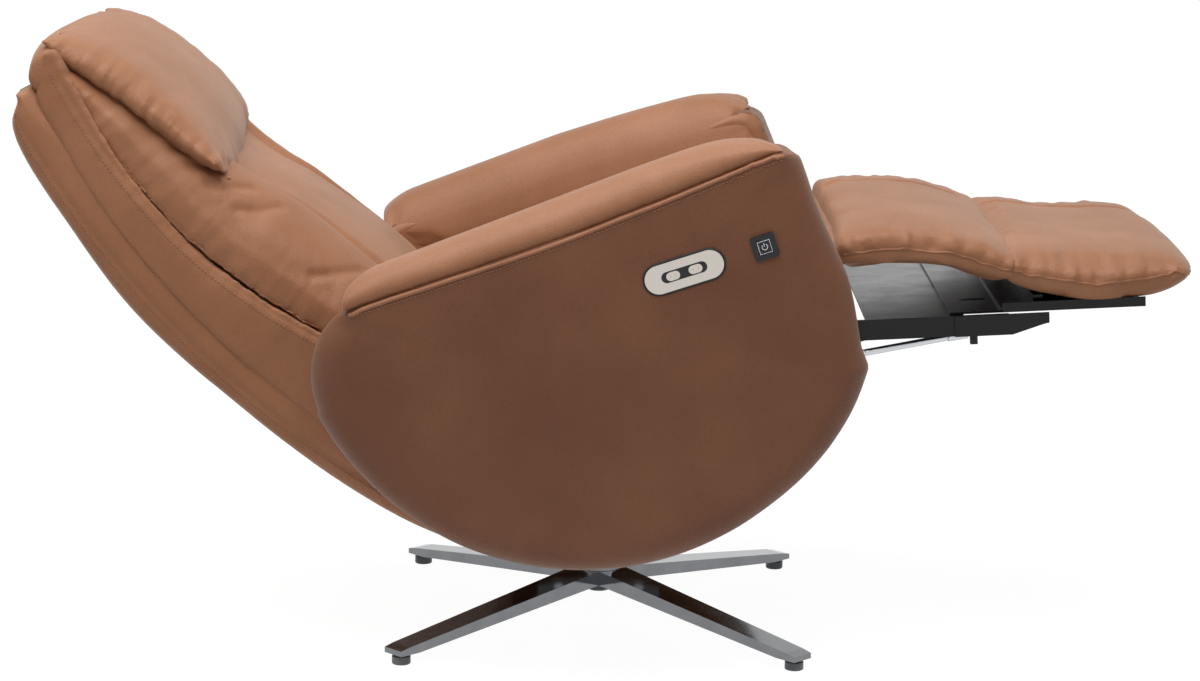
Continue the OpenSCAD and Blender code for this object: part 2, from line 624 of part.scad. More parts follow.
// The pillow is cut back at its root for the hinge
root_half = 36;
pillow_to = 38.7;
function pillow_from(y) = abs(y) < root_half ? 28.2 : 26.3;
function pillow_y(t) = lookup(t, [[0, -pillow_half], [0.08, -pillow_half * 0.985], [0.2, -pillow_half * 0.86],
    [0.46, -root_half - 1], [0.47, -root_half + 1], [0.53, root_half - 1], [0.54, root_half + 1],
    [0.8, pillow_half * 0.86], [0.92, pillow_half * 0.985], [1, pillow_half]]);
pillow_steps = [0, 0.03, 0.08, 0.2, 0.32, 0.46, 0.47, 0.53, 0.54, 0.68, 0.8, 0.92, 0.97, 1];
function pillow_point(s, j, up) = let (y = pillow_y(pillow_steps[j]), v = y / pillow_half,
    at = mix(pillow_from(y), pillow_to, s), low = lookup(at, pillow_low), high = lookup(at, pillow_up),
    rim = mix(low, high, 0.3))
    bent_point(at, up ? mix(rim - 4, high, dome(v, 2.4) * dome(mix(-0.93, 1, s), 3.2))
        : mix(rim, low, dome(v, 5) * dome(mix(-0.97, 1, s), 4)), y);
module headrest_pillow() color(leather) pad(
    function(s, t) pillow_point(s, round(acos(1 - 2 * t) / 180 * 13), true),
    function(s, t) pillow_point(s, round(acos(1 - 2 * t) / 180 * 13), false), 14, 13);

// Footrest: inner rails and tray swing from the seat
module inner_rail(side) color(steel_black) left_or_right(side) rail_frame() difference() {
    union() {
        plate(rail_y, rail_y + side_t) polygon([[-swing_lug_r / 2, 5], [swing_lug_r / 2, 9],
            [40, rail_top], [rail_l, rail_top], [rail_l, rail_top - rail_h], [60, rail_top - rail_h],
            [34, rail_top - rail_h - 6], [-swing_lug_r / 2, -8]]);
        across(2 * swing_lug_r, 0, 0, rail_y, rail_y + side_t);
    }
    across(foot_pin_d + 2 * run_gap, 0, 0, rail_y - 1, rail_y + side_t + 1);
}
module inner_rail_left() inner_rail(1);
module inner_rail_right() inner_rail(-1);

module inner_tray() color(steel_black) rail_frame()
    translate([inner_tray_x[0], -rail_y + weld_gap, tray_top - sheet_t])
        cube([inner_tray_x[1] - inner_tray_x[0], 2 * (rail_y - weld_gap), sheet_t]);

rod_from = [45, -74];
rod_to = [198, -52];
rod_d = 9;
rod_y = side_y - 6;
module drive_rod() color(silver) rail_frame() {
    slope = atan2(rod_to[1] - rod_from[1], rod_to[0] - rod_from[0]);
    translate([rod_from[0], -rod_y, rod_from[1]]) rotate([0, 90 - slope, 0])
        cylinder(d = rod_d, h = norm(rod_to - rod_from) - 14);
    plate(-rail_y + weld_gap, -rod_y + 2) polygon([
        [rod_to[0] - 34, rod_to[1] - 8], [rod_to[0] - 9, rod_to[1] - 5],
        [rod_to[0] - 8, rail_top - rail_h + 12], [rod_to[0] - 28, rail_top - rail_h + 12]]);
}

bumper_x = 191.5;
bumper_h = 11;
module rail_bumpers() color("#141414") rail_frame() for (side = [-1, 1]) left_or_right(side)
    translate([bumper_x, rail_y + side_t - 9, rail_top - rail_h - bumper_h]) cube([9, 9, bumper_h]);

function foot_bottom(x) = lookup(x, [[30, 30], [60, 40], [110, 44], [160, 36], [227, 12], [290, -2],
    [350, -7], [410, -3], [455, 12], [500, 24]]);
function foot_height(x) = lookup(x, [[24, 78], [60, 84], [110, 86], [165, 80], [222, 62], [250, 40],
    [275, 47], [320, 44], [380, 36], [430, 29], [465, 20], [500, 26]]);
// The two leather pads lie on one line and are set apart by a valley
corner_cut = 56; // how far the foot pad's corners are drawn in
function foot_pad_point(from, to, s, t, up) = let (x = mix(from, to, s), v = 2 * t - 1,
    low = foot_bottom(x), high = max(foot_height(x), low + 6))
    [x - corner_cut * (1 - dome(v, 2.6)) * pow(s, 3) * (to > calf_x[1] ? 1 : 0),
        v * (cushion_half - (up ? 0 : 4)),
        up ? mix(low + 14 * dome(2 * s - 1, 8) + 1, high, dome(v, 4) * dome(2 * s - 1, 4)) : low];
module calf_pad() color(leather) rail_frame() pad(
    function(s, t) foot_pad_point(calf_x[0] - 3, calf_x[1], s, t, true),
    function(s, t) foot_pad_point(calf_x[0], calf_x[1], s, t, false), 10, 12);
module foot_pad() color(leather) rail_frame() pad(
    function(s, t) foot_pad_point(foot_pad_x, foot_pad_x + foot_pad_l, s, t, true),
    function(s, t) foot_pad_point(foot_pad_x, foot_pad_x + foot_pad_l, s, t, false), 12, 12);

// Outer rails, tray and board slide along the inner rails
module outer_rail(side) color(steel_black) left_or_right(side) rail_frame() {
    end_x = rail_l + 50;
    end_rise = 12; // the lower edge climbs past the inner rail's end
    plate(outer_y, outer_y + side_t) union() {
        polygon([[outer_tray_x[0] + 4, rail_top], [outer_tray_x[0] + 4, rail_top - rail_h],
            [rail_l + 4, rail_top - rail_h], [end_x - 6, rail_top - rail_h + end_rise], [end_x, rail_top - 13],
            [end_x, rail_top]]);
    }
}
module outer_rail_left() outer_rail(1);
module outer_rail_right() outer_rail(-1);

slot_at = [[205, -150], [262, -190], [262, -120], [205, 150], [262, 190], [262, 120]];
module outer_tray() color(steel_black) rail_frame() difference() {
    translate([outer_tray_x[0], -tray_half, tray_top + slide_gap])
        cube([outer_tray_x[1] - outer_tray_x[0], 2 * tray_half, sheet_t]);
    for (p = slot_at) translate([p[0], p[1], tray_top - 1]) linear_extrude(sheet_t + 3) stadium(34, 12);
}

module foot_board() color("#111111") rail_frame() {
    board_y = outer_y + side_t;
    translate([board_x[0], -board_y, board_z - sheet_t])
        cube([board_x[1] - board_x[0], 2 * board_y, sheet_t]);
    for (y = [-board_y, board_y - sheet_t]) translate([board_x[0], y, board_z - sheet_t])
        cube([board_x[1] - board_x[0], sheet_t, 12]);
    translate([board_x[0] + 40, -tray_half, board_z]) cube([12, 2 * tray_half, -7 - board_z]);
}

base_star();
foot_glides();
hub_cap();
column_sleeve();
swivel_bush();
column_post();
swivel_plate();
tilt_yoke_left();
tilt_yoke_right();
tilt_pin();
yoke_bolts();
seat_side_left();
seat_side_right();
front_cross_tube();
rear_cross_tube();
seat_springs();
seat_cushion();
recline_pins();
footrest_pins();
recline_motor();
footrest_motor();
arm_core_left();
arm_core_right();
arm_outer_pad_left();
arm_outer_pad_right();
arm_inner_pad_left();
arm_inner_pad_right();
arm_top_pad_left();
arm_top_pad_right();
control_plate();
control_inlay();
rocker_rear();
rocker_front();
power_pad();
power_button();
back_side_left();
back_side_right();
back_crossbars();
back_springs();
back_cushion();
back_gusset_left();
back_gusset_right();
back_shell();
back_crown();
headrest_straps();
headrest_pin();
headrest_plate();
headrest_pillow();
inner_rail_left();
inner_rail_right();
inner_tray();
drive_rod();
rail_bumpers();
calf_pad();
outer_rail_left();
outer_rail_right();
outer_tray();
foot_board();
foot_pad();
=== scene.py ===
import bmesh
import bpy
import json
from math import acos, cos, exp, pi, radians, sin
from mathutils import Euler, Matrix, Vector, noise
from mathutils.bvhtree import BVHTree
from mathutils.kdtree import KDTree


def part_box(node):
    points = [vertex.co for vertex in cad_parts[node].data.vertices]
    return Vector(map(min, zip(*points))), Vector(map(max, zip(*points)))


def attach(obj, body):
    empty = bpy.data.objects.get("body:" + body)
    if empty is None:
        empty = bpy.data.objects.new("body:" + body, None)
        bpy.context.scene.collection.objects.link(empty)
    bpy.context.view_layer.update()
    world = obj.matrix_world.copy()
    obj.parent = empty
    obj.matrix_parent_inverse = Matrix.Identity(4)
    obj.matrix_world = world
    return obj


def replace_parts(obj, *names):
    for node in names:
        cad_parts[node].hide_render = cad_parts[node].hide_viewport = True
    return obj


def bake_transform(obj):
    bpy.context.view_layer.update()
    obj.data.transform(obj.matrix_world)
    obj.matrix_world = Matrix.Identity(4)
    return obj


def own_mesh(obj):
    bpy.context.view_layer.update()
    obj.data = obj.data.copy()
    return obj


# Power recliner armchair: leather, stitching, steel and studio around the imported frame
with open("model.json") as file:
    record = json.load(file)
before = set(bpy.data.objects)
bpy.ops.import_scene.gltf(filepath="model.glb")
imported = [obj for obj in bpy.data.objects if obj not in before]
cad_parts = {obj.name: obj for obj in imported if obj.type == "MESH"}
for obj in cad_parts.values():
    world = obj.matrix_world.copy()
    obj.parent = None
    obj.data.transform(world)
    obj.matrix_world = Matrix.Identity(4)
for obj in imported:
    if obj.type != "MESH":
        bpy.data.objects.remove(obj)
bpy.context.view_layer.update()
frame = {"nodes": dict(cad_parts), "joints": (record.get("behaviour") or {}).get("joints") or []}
scene = bpy.context.scene
nodes = frame["nodes"]
mm = 0.001
print("frame loaded:", len(nodes), "nodes")


def toLinear(hexColour):
    values = [int(hexColour[i:i + 2], 16) / 255 for i in (1, 3, 5)]
    return [v / 12.92 if v <= 0.04045 else ((v + 0.055) / 1.055) ** 2.4 for v in values] + [1]


def lookup(x, table):
    if x <= table[0][0]:
        return table[0][1]
    for (x0, y0), (x1, y1) in zip(table, table[1:]):
        if x <= x1:
            return y0 + (y1 - y0) * (x - x0) / (x1 - x0)
    return table[-1][1]


def smoothLookup(x, table):
    # a curve through the table's points, without corners
    if x <= table[0][0]:
        return table[0][1]
    if x >= table[-1][0]:
        return table[-1][1]
    i = next(k for k in range(len(table) - 1) if x <= table[k + 1][0])
    before, after = table[max(0, i - 1)], table[min(len(table) - 1, i + 2)]
    (x0, y0), (x1, y1) = table[i], table[i + 1]
    slope0 = (y1 - before[1]) / (x1 - before[0])
    slope1 = (after[1] - y0) / (after[0] - x0)
    h = x1 - x0
    t = (x - x0) / h
    return ((2 * t ** 3 - 3 * t ** 2 + 1) * y0 + (t ** 3 - 2 * t ** 2 + t) * h * slope0
            + (3 * t ** 2 - 2 * t ** 3) * y1 + (t ** 3 - t ** 2) * h * slope1)


def mix(a, b, t):
    return a + (b - a) * t


def spread(a, b, count):
    return [mix(a, b, k / count) for k in range(count + 1)]


def clamp(v, low=0.0, high=1.0):
    return max(low, min(high, v))


def smooth(v):
    v = clamp(v)
    return v * v * (3 - 2 * v)


def dome(u, power):
    return max(0.0, 1 - abs(u) ** power) ** (1 / power)


def hill(d, width):
    return exp(-(d / width) ** 2)


# Frames of the moving parts, as they lie at rest. Lengths in mm, points out in metres.
joint = {j["name"]: j for j in frame["joints"]}
tiltPoint = Vector(joint["body_tilt"]["pos_m"])
swingPoint = Vector(joint["footrest_swing"]["pos_m"])
lean = radians(18.5)
railRise = radians(3.5)
bendMid = Vector((0.372, 0, 1.313))


def seatPoint(x, y, z):
    # a place in the body as it stands upright
    up = z * mm - tiltPoint.z
    return Vector((x * mm * cos(lean) - up * sin(lean), y * mm,
                   tiltPoint.z + x * mm * sin(lean) + up * cos(lean)))


def backPoint(angle, radius, y):
    # a place along the bend of the back
    a = radians(angle)
    return bendMid + Vector((-radius * mm * cos(a), y * mm, -radius * mm * sin(a)))


def railPoint(u, y, w):
    # a place along the footrest's rails
    return Vector((swingPoint.x + (u * cos(railRise) - w * sin(railRise)) * mm, y * mm,
                   swingPoint.z + (u * sin(railRise) + w * cos(railRise)) * mm))


def linked(name, data):
    item = bpy.data.objects.new(name, data)
    scene.collection.objects.link(item)
    return item


def meshObject(name, points, faces, material=None):
    data = bpy.data.meshes.new(name)
    data.from_pydata([tuple(p) for p in points], [], faces)
    data.validate()
    piece = linked(name, data)
    makeNormalsOut(piece)
    for face in data.polygons:
        face.use_smooth = True
    if material:
        data.materials.append(material)
    return piece


def makeNormalsOut(piece):
    mesh = bmesh.new()
    mesh.from_mesh(piece.data)
    bmesh.ops.remove_doubles(mesh, verts=mesh.verts, dist=1e-6)
    bmesh.ops.recalc_face_normals(mesh, faces=mesh.faces)
    mesh.to_mesh(piece.data)
    mesh.free()


def tube(rings, closed=False):
    # points and faces of rings joined one to the next
    count, points, faces = len(rings[0]), [p for ring in rings for p in ring], []
    last = len(rings) if closed else len(rings) - 1
    for j in range(last):
        a, b = j * count, ((j + 1) % len(rings)) * count
        for i in range(count):
            k = (i + 1) % count
            faces.append((a + i, a + k, b + k, b + i))
    if not closed:
        for start in (0, (len(rings) - 1) * count):
            mid = sum((points[start + i] for i in range(count)), Vector()) / count
            points.append(mid)
            faces += [(start + i, start + (i + 1) % count, len(points) - 1) for i in range(count)]
    return points, faces


def padForm(name, upper, lower, along, wide):
    # a closed pad between two sheets; each gives a point for s along and t across
    eased = lambda t: (1 - cos(pi * t)) / 2
    rings = [[upper(eased(i / along), eased(j / wide)) for i in range(along + 1)]
             + [lower(eased(1 - i / along), eased(j / wide)) for i in range(along + 1)]
             for j in range(wide + 1)]
    return meshObject(name, *tube(rings), cognac)


def applyModifiers(piece):
    depsgraph = bpy.context.evaluated_depsgraph_get()
    data = bpy.data.meshes.new_from_object(piece.evaluated_get(depsgraph))
    old = piece.data
    piece.modifiers.clear()
    piece.data = data
    bpy.data.meshes.remove(old)
    data.name = piece.name
    for face in data.polygons:
        face.use_smooth = True
    return piece


def remeshed(piece, voxel, rounds=6):
    material = piece.data.materials[0]
    grid = piece.modifiers.new("even", "REMESH")
    grid.mode, grid.voxel_size = "VOXEL", voxel * mm
    ease = piece.modifiers.new("ease", "SMOOTH")
    ease.factor, ease.iterations = 0.5, rounds
    applyModifiers(piece)
    if not piece.data.materials:
        piece.data.materials.append(material)
    return piece


stuffing = {"frames": 20, "mass": 0.3, "stretch": 12, "shear": 5, "bend": 0.6}


def puffed(piece, voxel, pressure, reach):
    # an even mesh blown up as stuffed leather; no point moves further than reach, in mm
    remeshed(piece, voxel)
    start = [v.co.copy() for v in piece.data.vertices]
    cloth = piece.modifiers.new("stuffing", "CLOTH")
    stuff = cloth.settings
    stuff.quality, stuff.mass = 5, stuffing["mass"]
    stuff.tension_stiffness = stuff.compression_stiffness = stuffing["stretch"]
    stuff.shear_stiffness, stuff.bending_stiffness = stuffing["shear"], stuffing["bend"]
    stuff.use_pressure, stuff.uniform_pressure_force = True, pressure
    stuff.effector_weights.gravity = 0
    cloth.collision_settings.use_collision = False
    cloth.point_cache.frame_start, cloth.point_cache.frame_end = 1, stuffing["frames"]
    for number in range(1, stuffing["frames"] + 1):
        scene.frame_set(number)
    applyModifiers(piece)
    scene.frame_set(1)
    for v, was in zip(piece.data.vertices, start):
        shift = v.co - was
        if shift.length > reach * mm:
            v.co = was + shift * (reach * mm / shift.length)
    print("stuffed", piece.name, len(start), "points")
    return piece


def finer(piece):
    sub = piece.modifiers.new("finer", "SUBSURF")
    sub.levels = sub.render_levels = 1
    return applyModifiers(piece)


def moved(piece, change):
    # each vertex is moved along its normal by change(place), in mm
    normals = [v.normal.copy() for v in piece.data.vertices]
    for v, n in zip(piece.data.vertices, normals):
        v.co += n * (change(v.co.copy()) * mm)
    piece.data.update()
    return piece


def rippled(piece, *waves):
    # each wave has its height in mm, its lengths along the three axes in metres, and a seed
    def change(p):
        return sum(high * noise.noise(Vector((p.x / x, p.y / y, p.z / z))
                                      + Vector((seed * 7.3, seed * 3.1, seed * 1.7)))
                   for high, (x, y, z), seed in waves)
    return moved(piece, change)


def evenPath(points, step=4):
    # the same line with points a fixed step in mm apart
    out, left = [points[0].copy()], step * mm
    for a, b in zip(points, points[1:]):
        length, at = (b - a).length, 0.0
        while length - at >= left:
            at += left
            out.append(a.lerp(b, at / length))
            left = step * mm
        left -= length - at
    return out


def seamed(piece, lines, depth=3, width=5, pucker=1.5, reachOut=28, wave=16, strength=None):
    # a sewn line: a narrow groove, and short folds that run out from it
    tree = KDTree(sum(len(line) for line in lines))
    along, count = [], 0
    for line in lines:
        for k, p in enumerate(line):
            tree.insert(p, count)
            along.append(k)
            count += 1
    tree.balance()
    step = (lines[0][1] - lines[0][0]).length / mm

    def change(p):
        _, index, distance = tree.find(p)
        d = distance / mm
        if d > 3 * reachOut:
            return 0.0
        at = along[index] * step
        much = pucker * (strength(p) if strength else 1)
        fold = (noise.noise(Vector((at / wave, d / 90, 3.1)))
                + 0.5 * noise.noise(Vector((at / wave * 2.1, d / 60, 8.7))))
        groove = hill(d, width)
        return -depth * groove + much * fold * exp(-d / reachOut) * (1 - groove)
    return moved(piece, change)


def surfaceOf(piece):
    mesh = bmesh.new()
    mesh.from_mesh(piece.data)
    tree = BVHTree.FromBMesh(mesh)
    mesh.free()
    return tree


def onSurface(tree, p):
    place, normal, _, _ = tree.find_nearest(p)
    return place, normal


def laidOn(tree, line):
    return [onSurface(tree, p)[0] for p in line]


def cordMesh(path, radius, lift, sides=8, closed=False):
    # a round strip along a path; lift gives each point's outward direction
    rings = []
    count = len(path)
    for k, p in enumerate(path):
        before = path[k - 1] if k > 0 or closed else p
        after = path[(k + 1) % count] if k < count - 1 or closed else p
        run = (after - before).normalized()
        side = run.cross(lift[k])
        side = side.normalized() if side.length > 1e-6 else Vector((0, 1, 0))
        up = side.cross(run).normalized()
        rings.append([p + (side * cos(a) + up * sin(a)) * radius * mm
                      for a in (2 * pi * i / sides for i in range(sides))])
    return tube(rings, closed)


def merged(name, parts, material):
    points, faces = [], []
    for partPoints, partFaces in parts:
        base = len(points)
        points += partPoints
        faces += [tuple(base + i for i in face) for face in partFaces]
    return meshObject(name, points, faces, material)


thread = {"radius": 0.6, "long": 3.6, "pitch": 5.2, "lie": 1.8}


def stitchLine(path, normals):
    # short slanted stitches that dip into the leather at their ends
    parts = []
    long, pitch = thread["long"] * mm, thread["pitch"] * mm
    total, at = 0.0, [0.0]
    for a, b in zip(path, path[1:]):
        total += (b - a).length
        at.append(total)

    def place(d):
        d = clamp(d, 0, total - 1e-6)
        i = next(k for k in range(len(at) - 1) if d <= at[k + 1])
        t = (d - at[i]) / (at[i + 1] - at[i])
        return path[i].lerp(path[i + 1], t), normals[i].lerp(normals[i + 1], t).normalized()
    for k in range(int(total / pitch)):
        start = k * pitch
        rings = []
        for j in range(5):
            p, n = place(start + long * j / 4)
            q, _ = place(start + long * j / 4 + 1e-4)
            run = (q - p).normalized()
            side = run.cross(n).normalized()
            height = thread["radius"] * (0.75 * sin(pi * j / 4) - 0.15)
            p = p + n * height * mm
            r = thread["radius"] * mm * (0.72 + 0.28 * sin(pi * j / 4))
            rings.append([p + (side * cos(a) + n * sin(a)) * r for a in (pi / 3 * i for i in range(6))])
        parts.append(tube(rings))
    return parts


def newMaterial(name):
    # also gives the object's own coordinates, so that every pattern has its size in metres
    material = bpy.data.materials.new(name)
    material.use_nodes = True
    tree = material.node_tree
    return material, tree, tree.nodes["Principled BSDF"], node(tree, "ShaderNodeTexCoord").outputs["Object"]


def node(tree, kind, settings=None, links=None):
    # adds a node with its settings; links name its sockets and what feeds them
    item = tree.nodes.new(kind)
    for key, value in (settings or {}).items():
        if isinstance(key, int) or key in item.inputs:
            item.inputs[key].default_value = value
        else:
            setattr(item, key, value)
    for key, source in (links or {}).items():
        tree.links.new(source, item.inputs[key])
    return item


def setShader(shader, **values):
    for key, value in values.items():
        shader.inputs[key].default_value = value


def shades(tree, source, stops):
    # a colour ramp of (place, colour) stops
    ramp = node(tree, "ShaderNodeValToRGB", links={"Fac": source})
    bands = ramp.color_ramp.elements
    while len(bands) < len(stops):
        bands.new(0.5)
    for band, (place, colour) in zip(bands, stops):
        band.position, band.color = place, toLinear(colour)
    return ramp.outputs["Color"]


def cloudy(tree, place, scale, detail, **more):
    return node(tree, "ShaderNodeTexNoise", {"Scale": scale, "Detail": detail, **more}, {"Vector": place})


def coloured(tree, shader, source, ends, tones):
    tree.links.new(shades(tree, source, list(zip(ends, tones))), shader.inputs["Base Color"])


def bumped(tree, shader, height, strength, distance):
    bump = node(tree, "ShaderNodeBump", {"Strength": strength, "Distance": distance}, {"Height": height})
    tree.links.new(bump.outputs[0], shader.inputs["Normal"])


def roughened(tree, shader, source, low, high, rough):
    # roughness runs from rough[0] where the source is low to rough[1] where it is high
    level = node(tree, "ShaderNodeMapRange", {"From Min": low, "From Max": high, "To Min": rough[0],
                 "To Max": rough[1]}, {"Value": source})
    tree.links.new(level.outputs[0], shader.inputs["Roughness"])


def pigmentedLeather(name, tones, grain=2.6, gloss=0.46, bumpDepth=0.35):
    # corrected-grain upholstery leather, drum dyed and pigmented: an even cognac with soft
    # clouding, a pebble of closed grain cells and fine pores, and a low satin shine
    material, tree, shader, place = newMaterial(name)
    cloud = cloudy(tree, place, 1 / 0.16, 3.0, Roughness=0.55)
    colour = shades(tree, cloud.outputs["Fac"], [(0.3, tones[0]), (0.52, tones[1]), (0.72, tones[2])])
    bend = cloudy(tree, place, 1 / 0.006, 2.0)
    warped = node(tree, "ShaderNodeVectorMath", {"operation": "MULTIPLY_ADD", 1: (0.0016, 0.0016, 0.0016)},
                  {0: bend.outputs["Color"], 2: place})
    # the real grain is about 0.9 mm; it is drawn at the size given so that it shows
    cells = node(tree, "ShaderNodeTexVoronoi", {"feature": "DISTANCE_TO_EDGE", "Scale": 1 / (grain * mm)},
                 {"Vector": warped.outputs[0]})
    crease = node(tree, "ShaderNodeMapRange", {"From Max": 0.16}, {"Value": cells.outputs["Distance"]})
    pores = cloudy(tree, place, 1 / 0.0011, 2.0)
    height = node(tree, "ShaderNodeMath", {"operation": "MULTIPLY_ADD", 1: 0.3},
                  {0: pores.outputs["Fac"], 2: crease.outputs[0]})
    grainShade = node(tree, "ShaderNodeMix", {"data_type": "RGBA", "blend_type": "MULTIPLY", 0: 0.16},
                      {6: colour, 7: shades(tree, crease.outputs[0], [(0.0, "#8a6a58"), (1.0, "#ffffff")])})
    tree.links.new(grainShade.outputs[2], shader.inputs["Base Color"])
    roughened(tree, shader, crease.outputs[0], 0.0, 1.0, (gloss + 0.12, gloss))
    bumped(tree, shader, height.outputs[0], bumpDepth, 0.0005)
    setShader(shader, **{"IOR": 1.5, "Metallic": 0.0, "Sheen Weight": 0.2, "Sheen Roughness": 0.4,
                         "Sheen Tint": (1.0, 0.92, 0.78, 1.0), "Specular IOR Level": 0.35})
    return material


def twistedThread(name, tones):
    # bonded polyester sewing thread, twisted: a matt tonal line with a fine slant in it
    material, tree, shader, place = newMaterial(name)
    twist = node(tree, "ShaderNodeTexWave", {"Scale": 1 / 0.0016, "Distortion": 1.5,
                 "bands_direction": "DIAGONAL"}, {"Vector": place})
    coloured(tree, shader, twist.outputs["Fac"], (0.2, 0.8), tones)
    bumped(tree, shader, twist.outputs["Fac"], 0.4, 0.0002)
    setShader(shader, **{"Roughness": 0.62, "IOR": 1.53, "Sheen Weight": 0.15})
    return material


def metalFinish(name, tones, rough, streak, scale, bumpDepth=0.08):
    # a bare or plated metal; rough runs from the brightest to the dullest patch, streak
    # stretches the marks that the wheel or brush left
    material, tree, shader, place = newMaterial(name)
    along = node(tree, "ShaderNodeMapping", {"Scale": streak}, {"Vector": place})
    marks = cloudy(tree, along.outputs[0], 1 / (scale * mm), 5.0, Roughness=0.6)
    coloured(tree, shader, marks.outputs["Fac"], (0.3, 0.7), tones)
    roughened(tree, shader, marks.outputs["Fac"], 0.3, 0.7, rough)
    bumped(tree, shader, marks.outputs["Fac"], bumpDepth, 0.0003)
    setShader(shader, Metallic=1.0)
    return material


def coatedFinish(name, tones, rough, grit, bumpDepth, ior=1.5, coat=0.0, coatRough=0.1):
    # paint, plastic or rubber: a body colour with a fine moulded or sprayed skin of that grit in mm
    material, tree, shader, place = newMaterial(name)
    skin = cloudy(tree, place, 1 / (grit * mm), 3.0)
    wear = cloudy(tree, place, 1 / 0.05, 4.0, Roughness=0.7)
    coloured(tree, shader, wear.outputs["Fac"], (0.35, 0.7), tones)
    roughened(tree, shader, wear.outputs["Fac"], 0.3, 0.75, rough)
    bumped(tree, shader, skin.outputs["Fac"], bumpDepth, 0.0002)
    setShader(shader, **{"IOR": ior, "Specular IOR Level": 0.38, "Coat Weight": coat,
                         "Coat Roughness": coatRough})
    return material


cognac = pigmentedLeather("cognacPigmentedLeather", ("#92603f", "#9c6948", "#a67252"))
# a darker copy of the cognac leather: painted shade for the arms' outer faces, which the lamp above lights
# less
shadedPanelLeather = pigmentedLeather("cognacLeatherPaintedShade", ("#693e26", "#71452c", "#784c31"), gloss=0.5)
seamThread = twistedThread("twistedPolyesterThread", ("#754c35", "#9c6d50"))
seamEdge = pigmentedLeather("foldedLeatherWelt", ("#8f5b3d", "#9c6748", "#a87254"), grain=1.8, gloss=0.42)
castAluminium = metalFinish("polishedCastAluminium", ("#76787b", "#808285"), (0.07, 0.12), (1, 1, 1), 30,
                            0.02)
satinSilver = metalFinish("satinPlatedZinc", ("#bfb8b0", "#ccc6be"), (0.24, 0.34), (1, 1, 1), 0.7, 0.12)
brightSteel = metalFinish("drawnBrightSteel", ("#b9bcc0", "#cfd2d5"), (0.16, 0.28), (8, 1, 8), 2)
springSteel = metalFinish("oiledSpringSteel", ("#6c6f73", "#8b8e92"), (0.34, 0.5), (1, 1, 1), 6)
blackSteel = coatedFinish("powderCoatedSteel", ("#060607", "#0d0d0f"), (0.16, 0.28), 0.8, 0.1, ior=1.4,
                          coat=0.02, coatRough=0.08)
blackAbs = coatedFinish("mouldedBlackAbs", ("#07080c", "#101218"), (0.34, 0.46), 0.5, 0.12, ior=1.54)
greyGlide = coatedFinish("mouldedPolyamide", ("#6d7073", "#85888b"), (0.4, 0.55), 0.6, 0.15, ior=1.53)
paleBush = coatedFinish("turnedAcetal", ("#d9d4c6", "#e8e4d8"), (0.3, 0.4), 0.6, 0.08, ior=1.48)
bumperRubber = coatedFinish("mouldedRubber", ("#0f0f10", "#1a1a1b"), (0.6, 0.75), 0.7, 0.25, ior=1.52)
symbolPaint = coatedFinish("printedSilverInk", ("#e4e7ec", "#f2f4f7"), (0.35, 0.45), 0.5, 0.05)
print("materials made")


def dress(material, *names):
    for name in names:
        slots = nodes[name].data.materials
        slots.clear()
        slots.append(material)


# Hard parts keep the frame's solids and get their real surfaces and broken edges
sides = {"left": 1, "right": -1}
dress(castAluminium, "base_star")
dress(greyGlide, "foot_glides", "hub_cap")
dress(paleBush, "swivel_bush")
dress(brightSteel, "column_sleeve", "column_post", "tilt_pin", "yoke_bolts", "recline_pins",
      "footrest_pins", "drive_rod", "headrest_pin")
dress(springSteel, "front_cross_tube", "rear_cross_tube", "seat_springs", "back_crossbars",
      "back_springs", "headrest_plate")
dress(blackSteel, "swivel_plate", "tilt_yoke_left", "tilt_yoke_right", "seat_side_left",
      "seat_side_right", "back_side_left", "back_side_right", "headrest_straps", "inner_rail_left",
      "inner_rail_right", "inner_tray", "outer_rail_left", "outer_rail_right", "outer_tray", "foot_board")
dress(blackAbs, "recline_motor", "footrest_motor", "control_inlay", "power_pad", "power_button")
dress(satinSilver, "control_plate", "rocker_rear", "rocker_front")
dress(bumperRubber, "rail_bumpers")
hardEdges = ((5, "recline_motor", "footrest_motor"), (1.6, "base_star"), (1.2, "rail_bumpers"),
             (1, "swivel_plate", "tilt_yoke_left", "tilt_yoke_right"), (0.9, "control_plate"),
             (0.8, "inner_rail_left", "inner_rail_right", "inner_tray", "outer_rail_left",
              "outer_rail_right", "outer_tray", "foot_board", "drive_rod"),
             (0.5, "rocker_rear", "rocker_front", "power_pad"), (0.3, "power_button"),
             (0.2, "control_inlay"))
for width, *names in hardEdges:
    for name in names:
        bevel = nodes[name].modifiers.new("edges", "BEVEL")
        bevel.width, bevel.segments = width * mm, 3
        bevel.limit_method, bevel.angle_limit = "ANGLE", radians(32)
for item in nodes.values():
    for face in item.data.polygons:
        face.use_smooth = False
print("hard parts dressed")


# Arms: one upholstered body each, with a stuffed pad sewn along its top
arm = {"inner": 272, "outer": 388, "hub": (42, 513), "round": 357, "front": {-1: 335, 1: 315},
       "nose": {-1: 26, 1: 34},
       "corner": (-205, 466), "cornerRound": 103, "mid": (20, 400), "edge": 34, "edgeDrop": 40, "sink": 2.2,
       "innerEdge": 20, "innerDrop": 22, "crown": 3.0, "swell": 5.5,
       "seam": [(-310, 569), (-100, 571), (30, 575), (180, 584), (310, 594), (350, 594)],
       "settled": [(-245, 2), (31, 3), (109, 8), (187, 14), (263, 18), (340, 23)], "bulge": (12, 7)}


def armSeam(x, side):
    # the sewn line's height; the left pad has settled a little with use
    return smoothLookup(x, arm["seam"]) - (lookup(x, arm["settled"]) if side > 0 else 0)


def arcPoints(mid, r, start, end, steps):
    return [(mid[0] + r * cos(radians(mix(start, end, i / steps))),
             mid[1] + r * sin(radians(mix(start, end, i / steps)))) for i in range(steps + 1)]


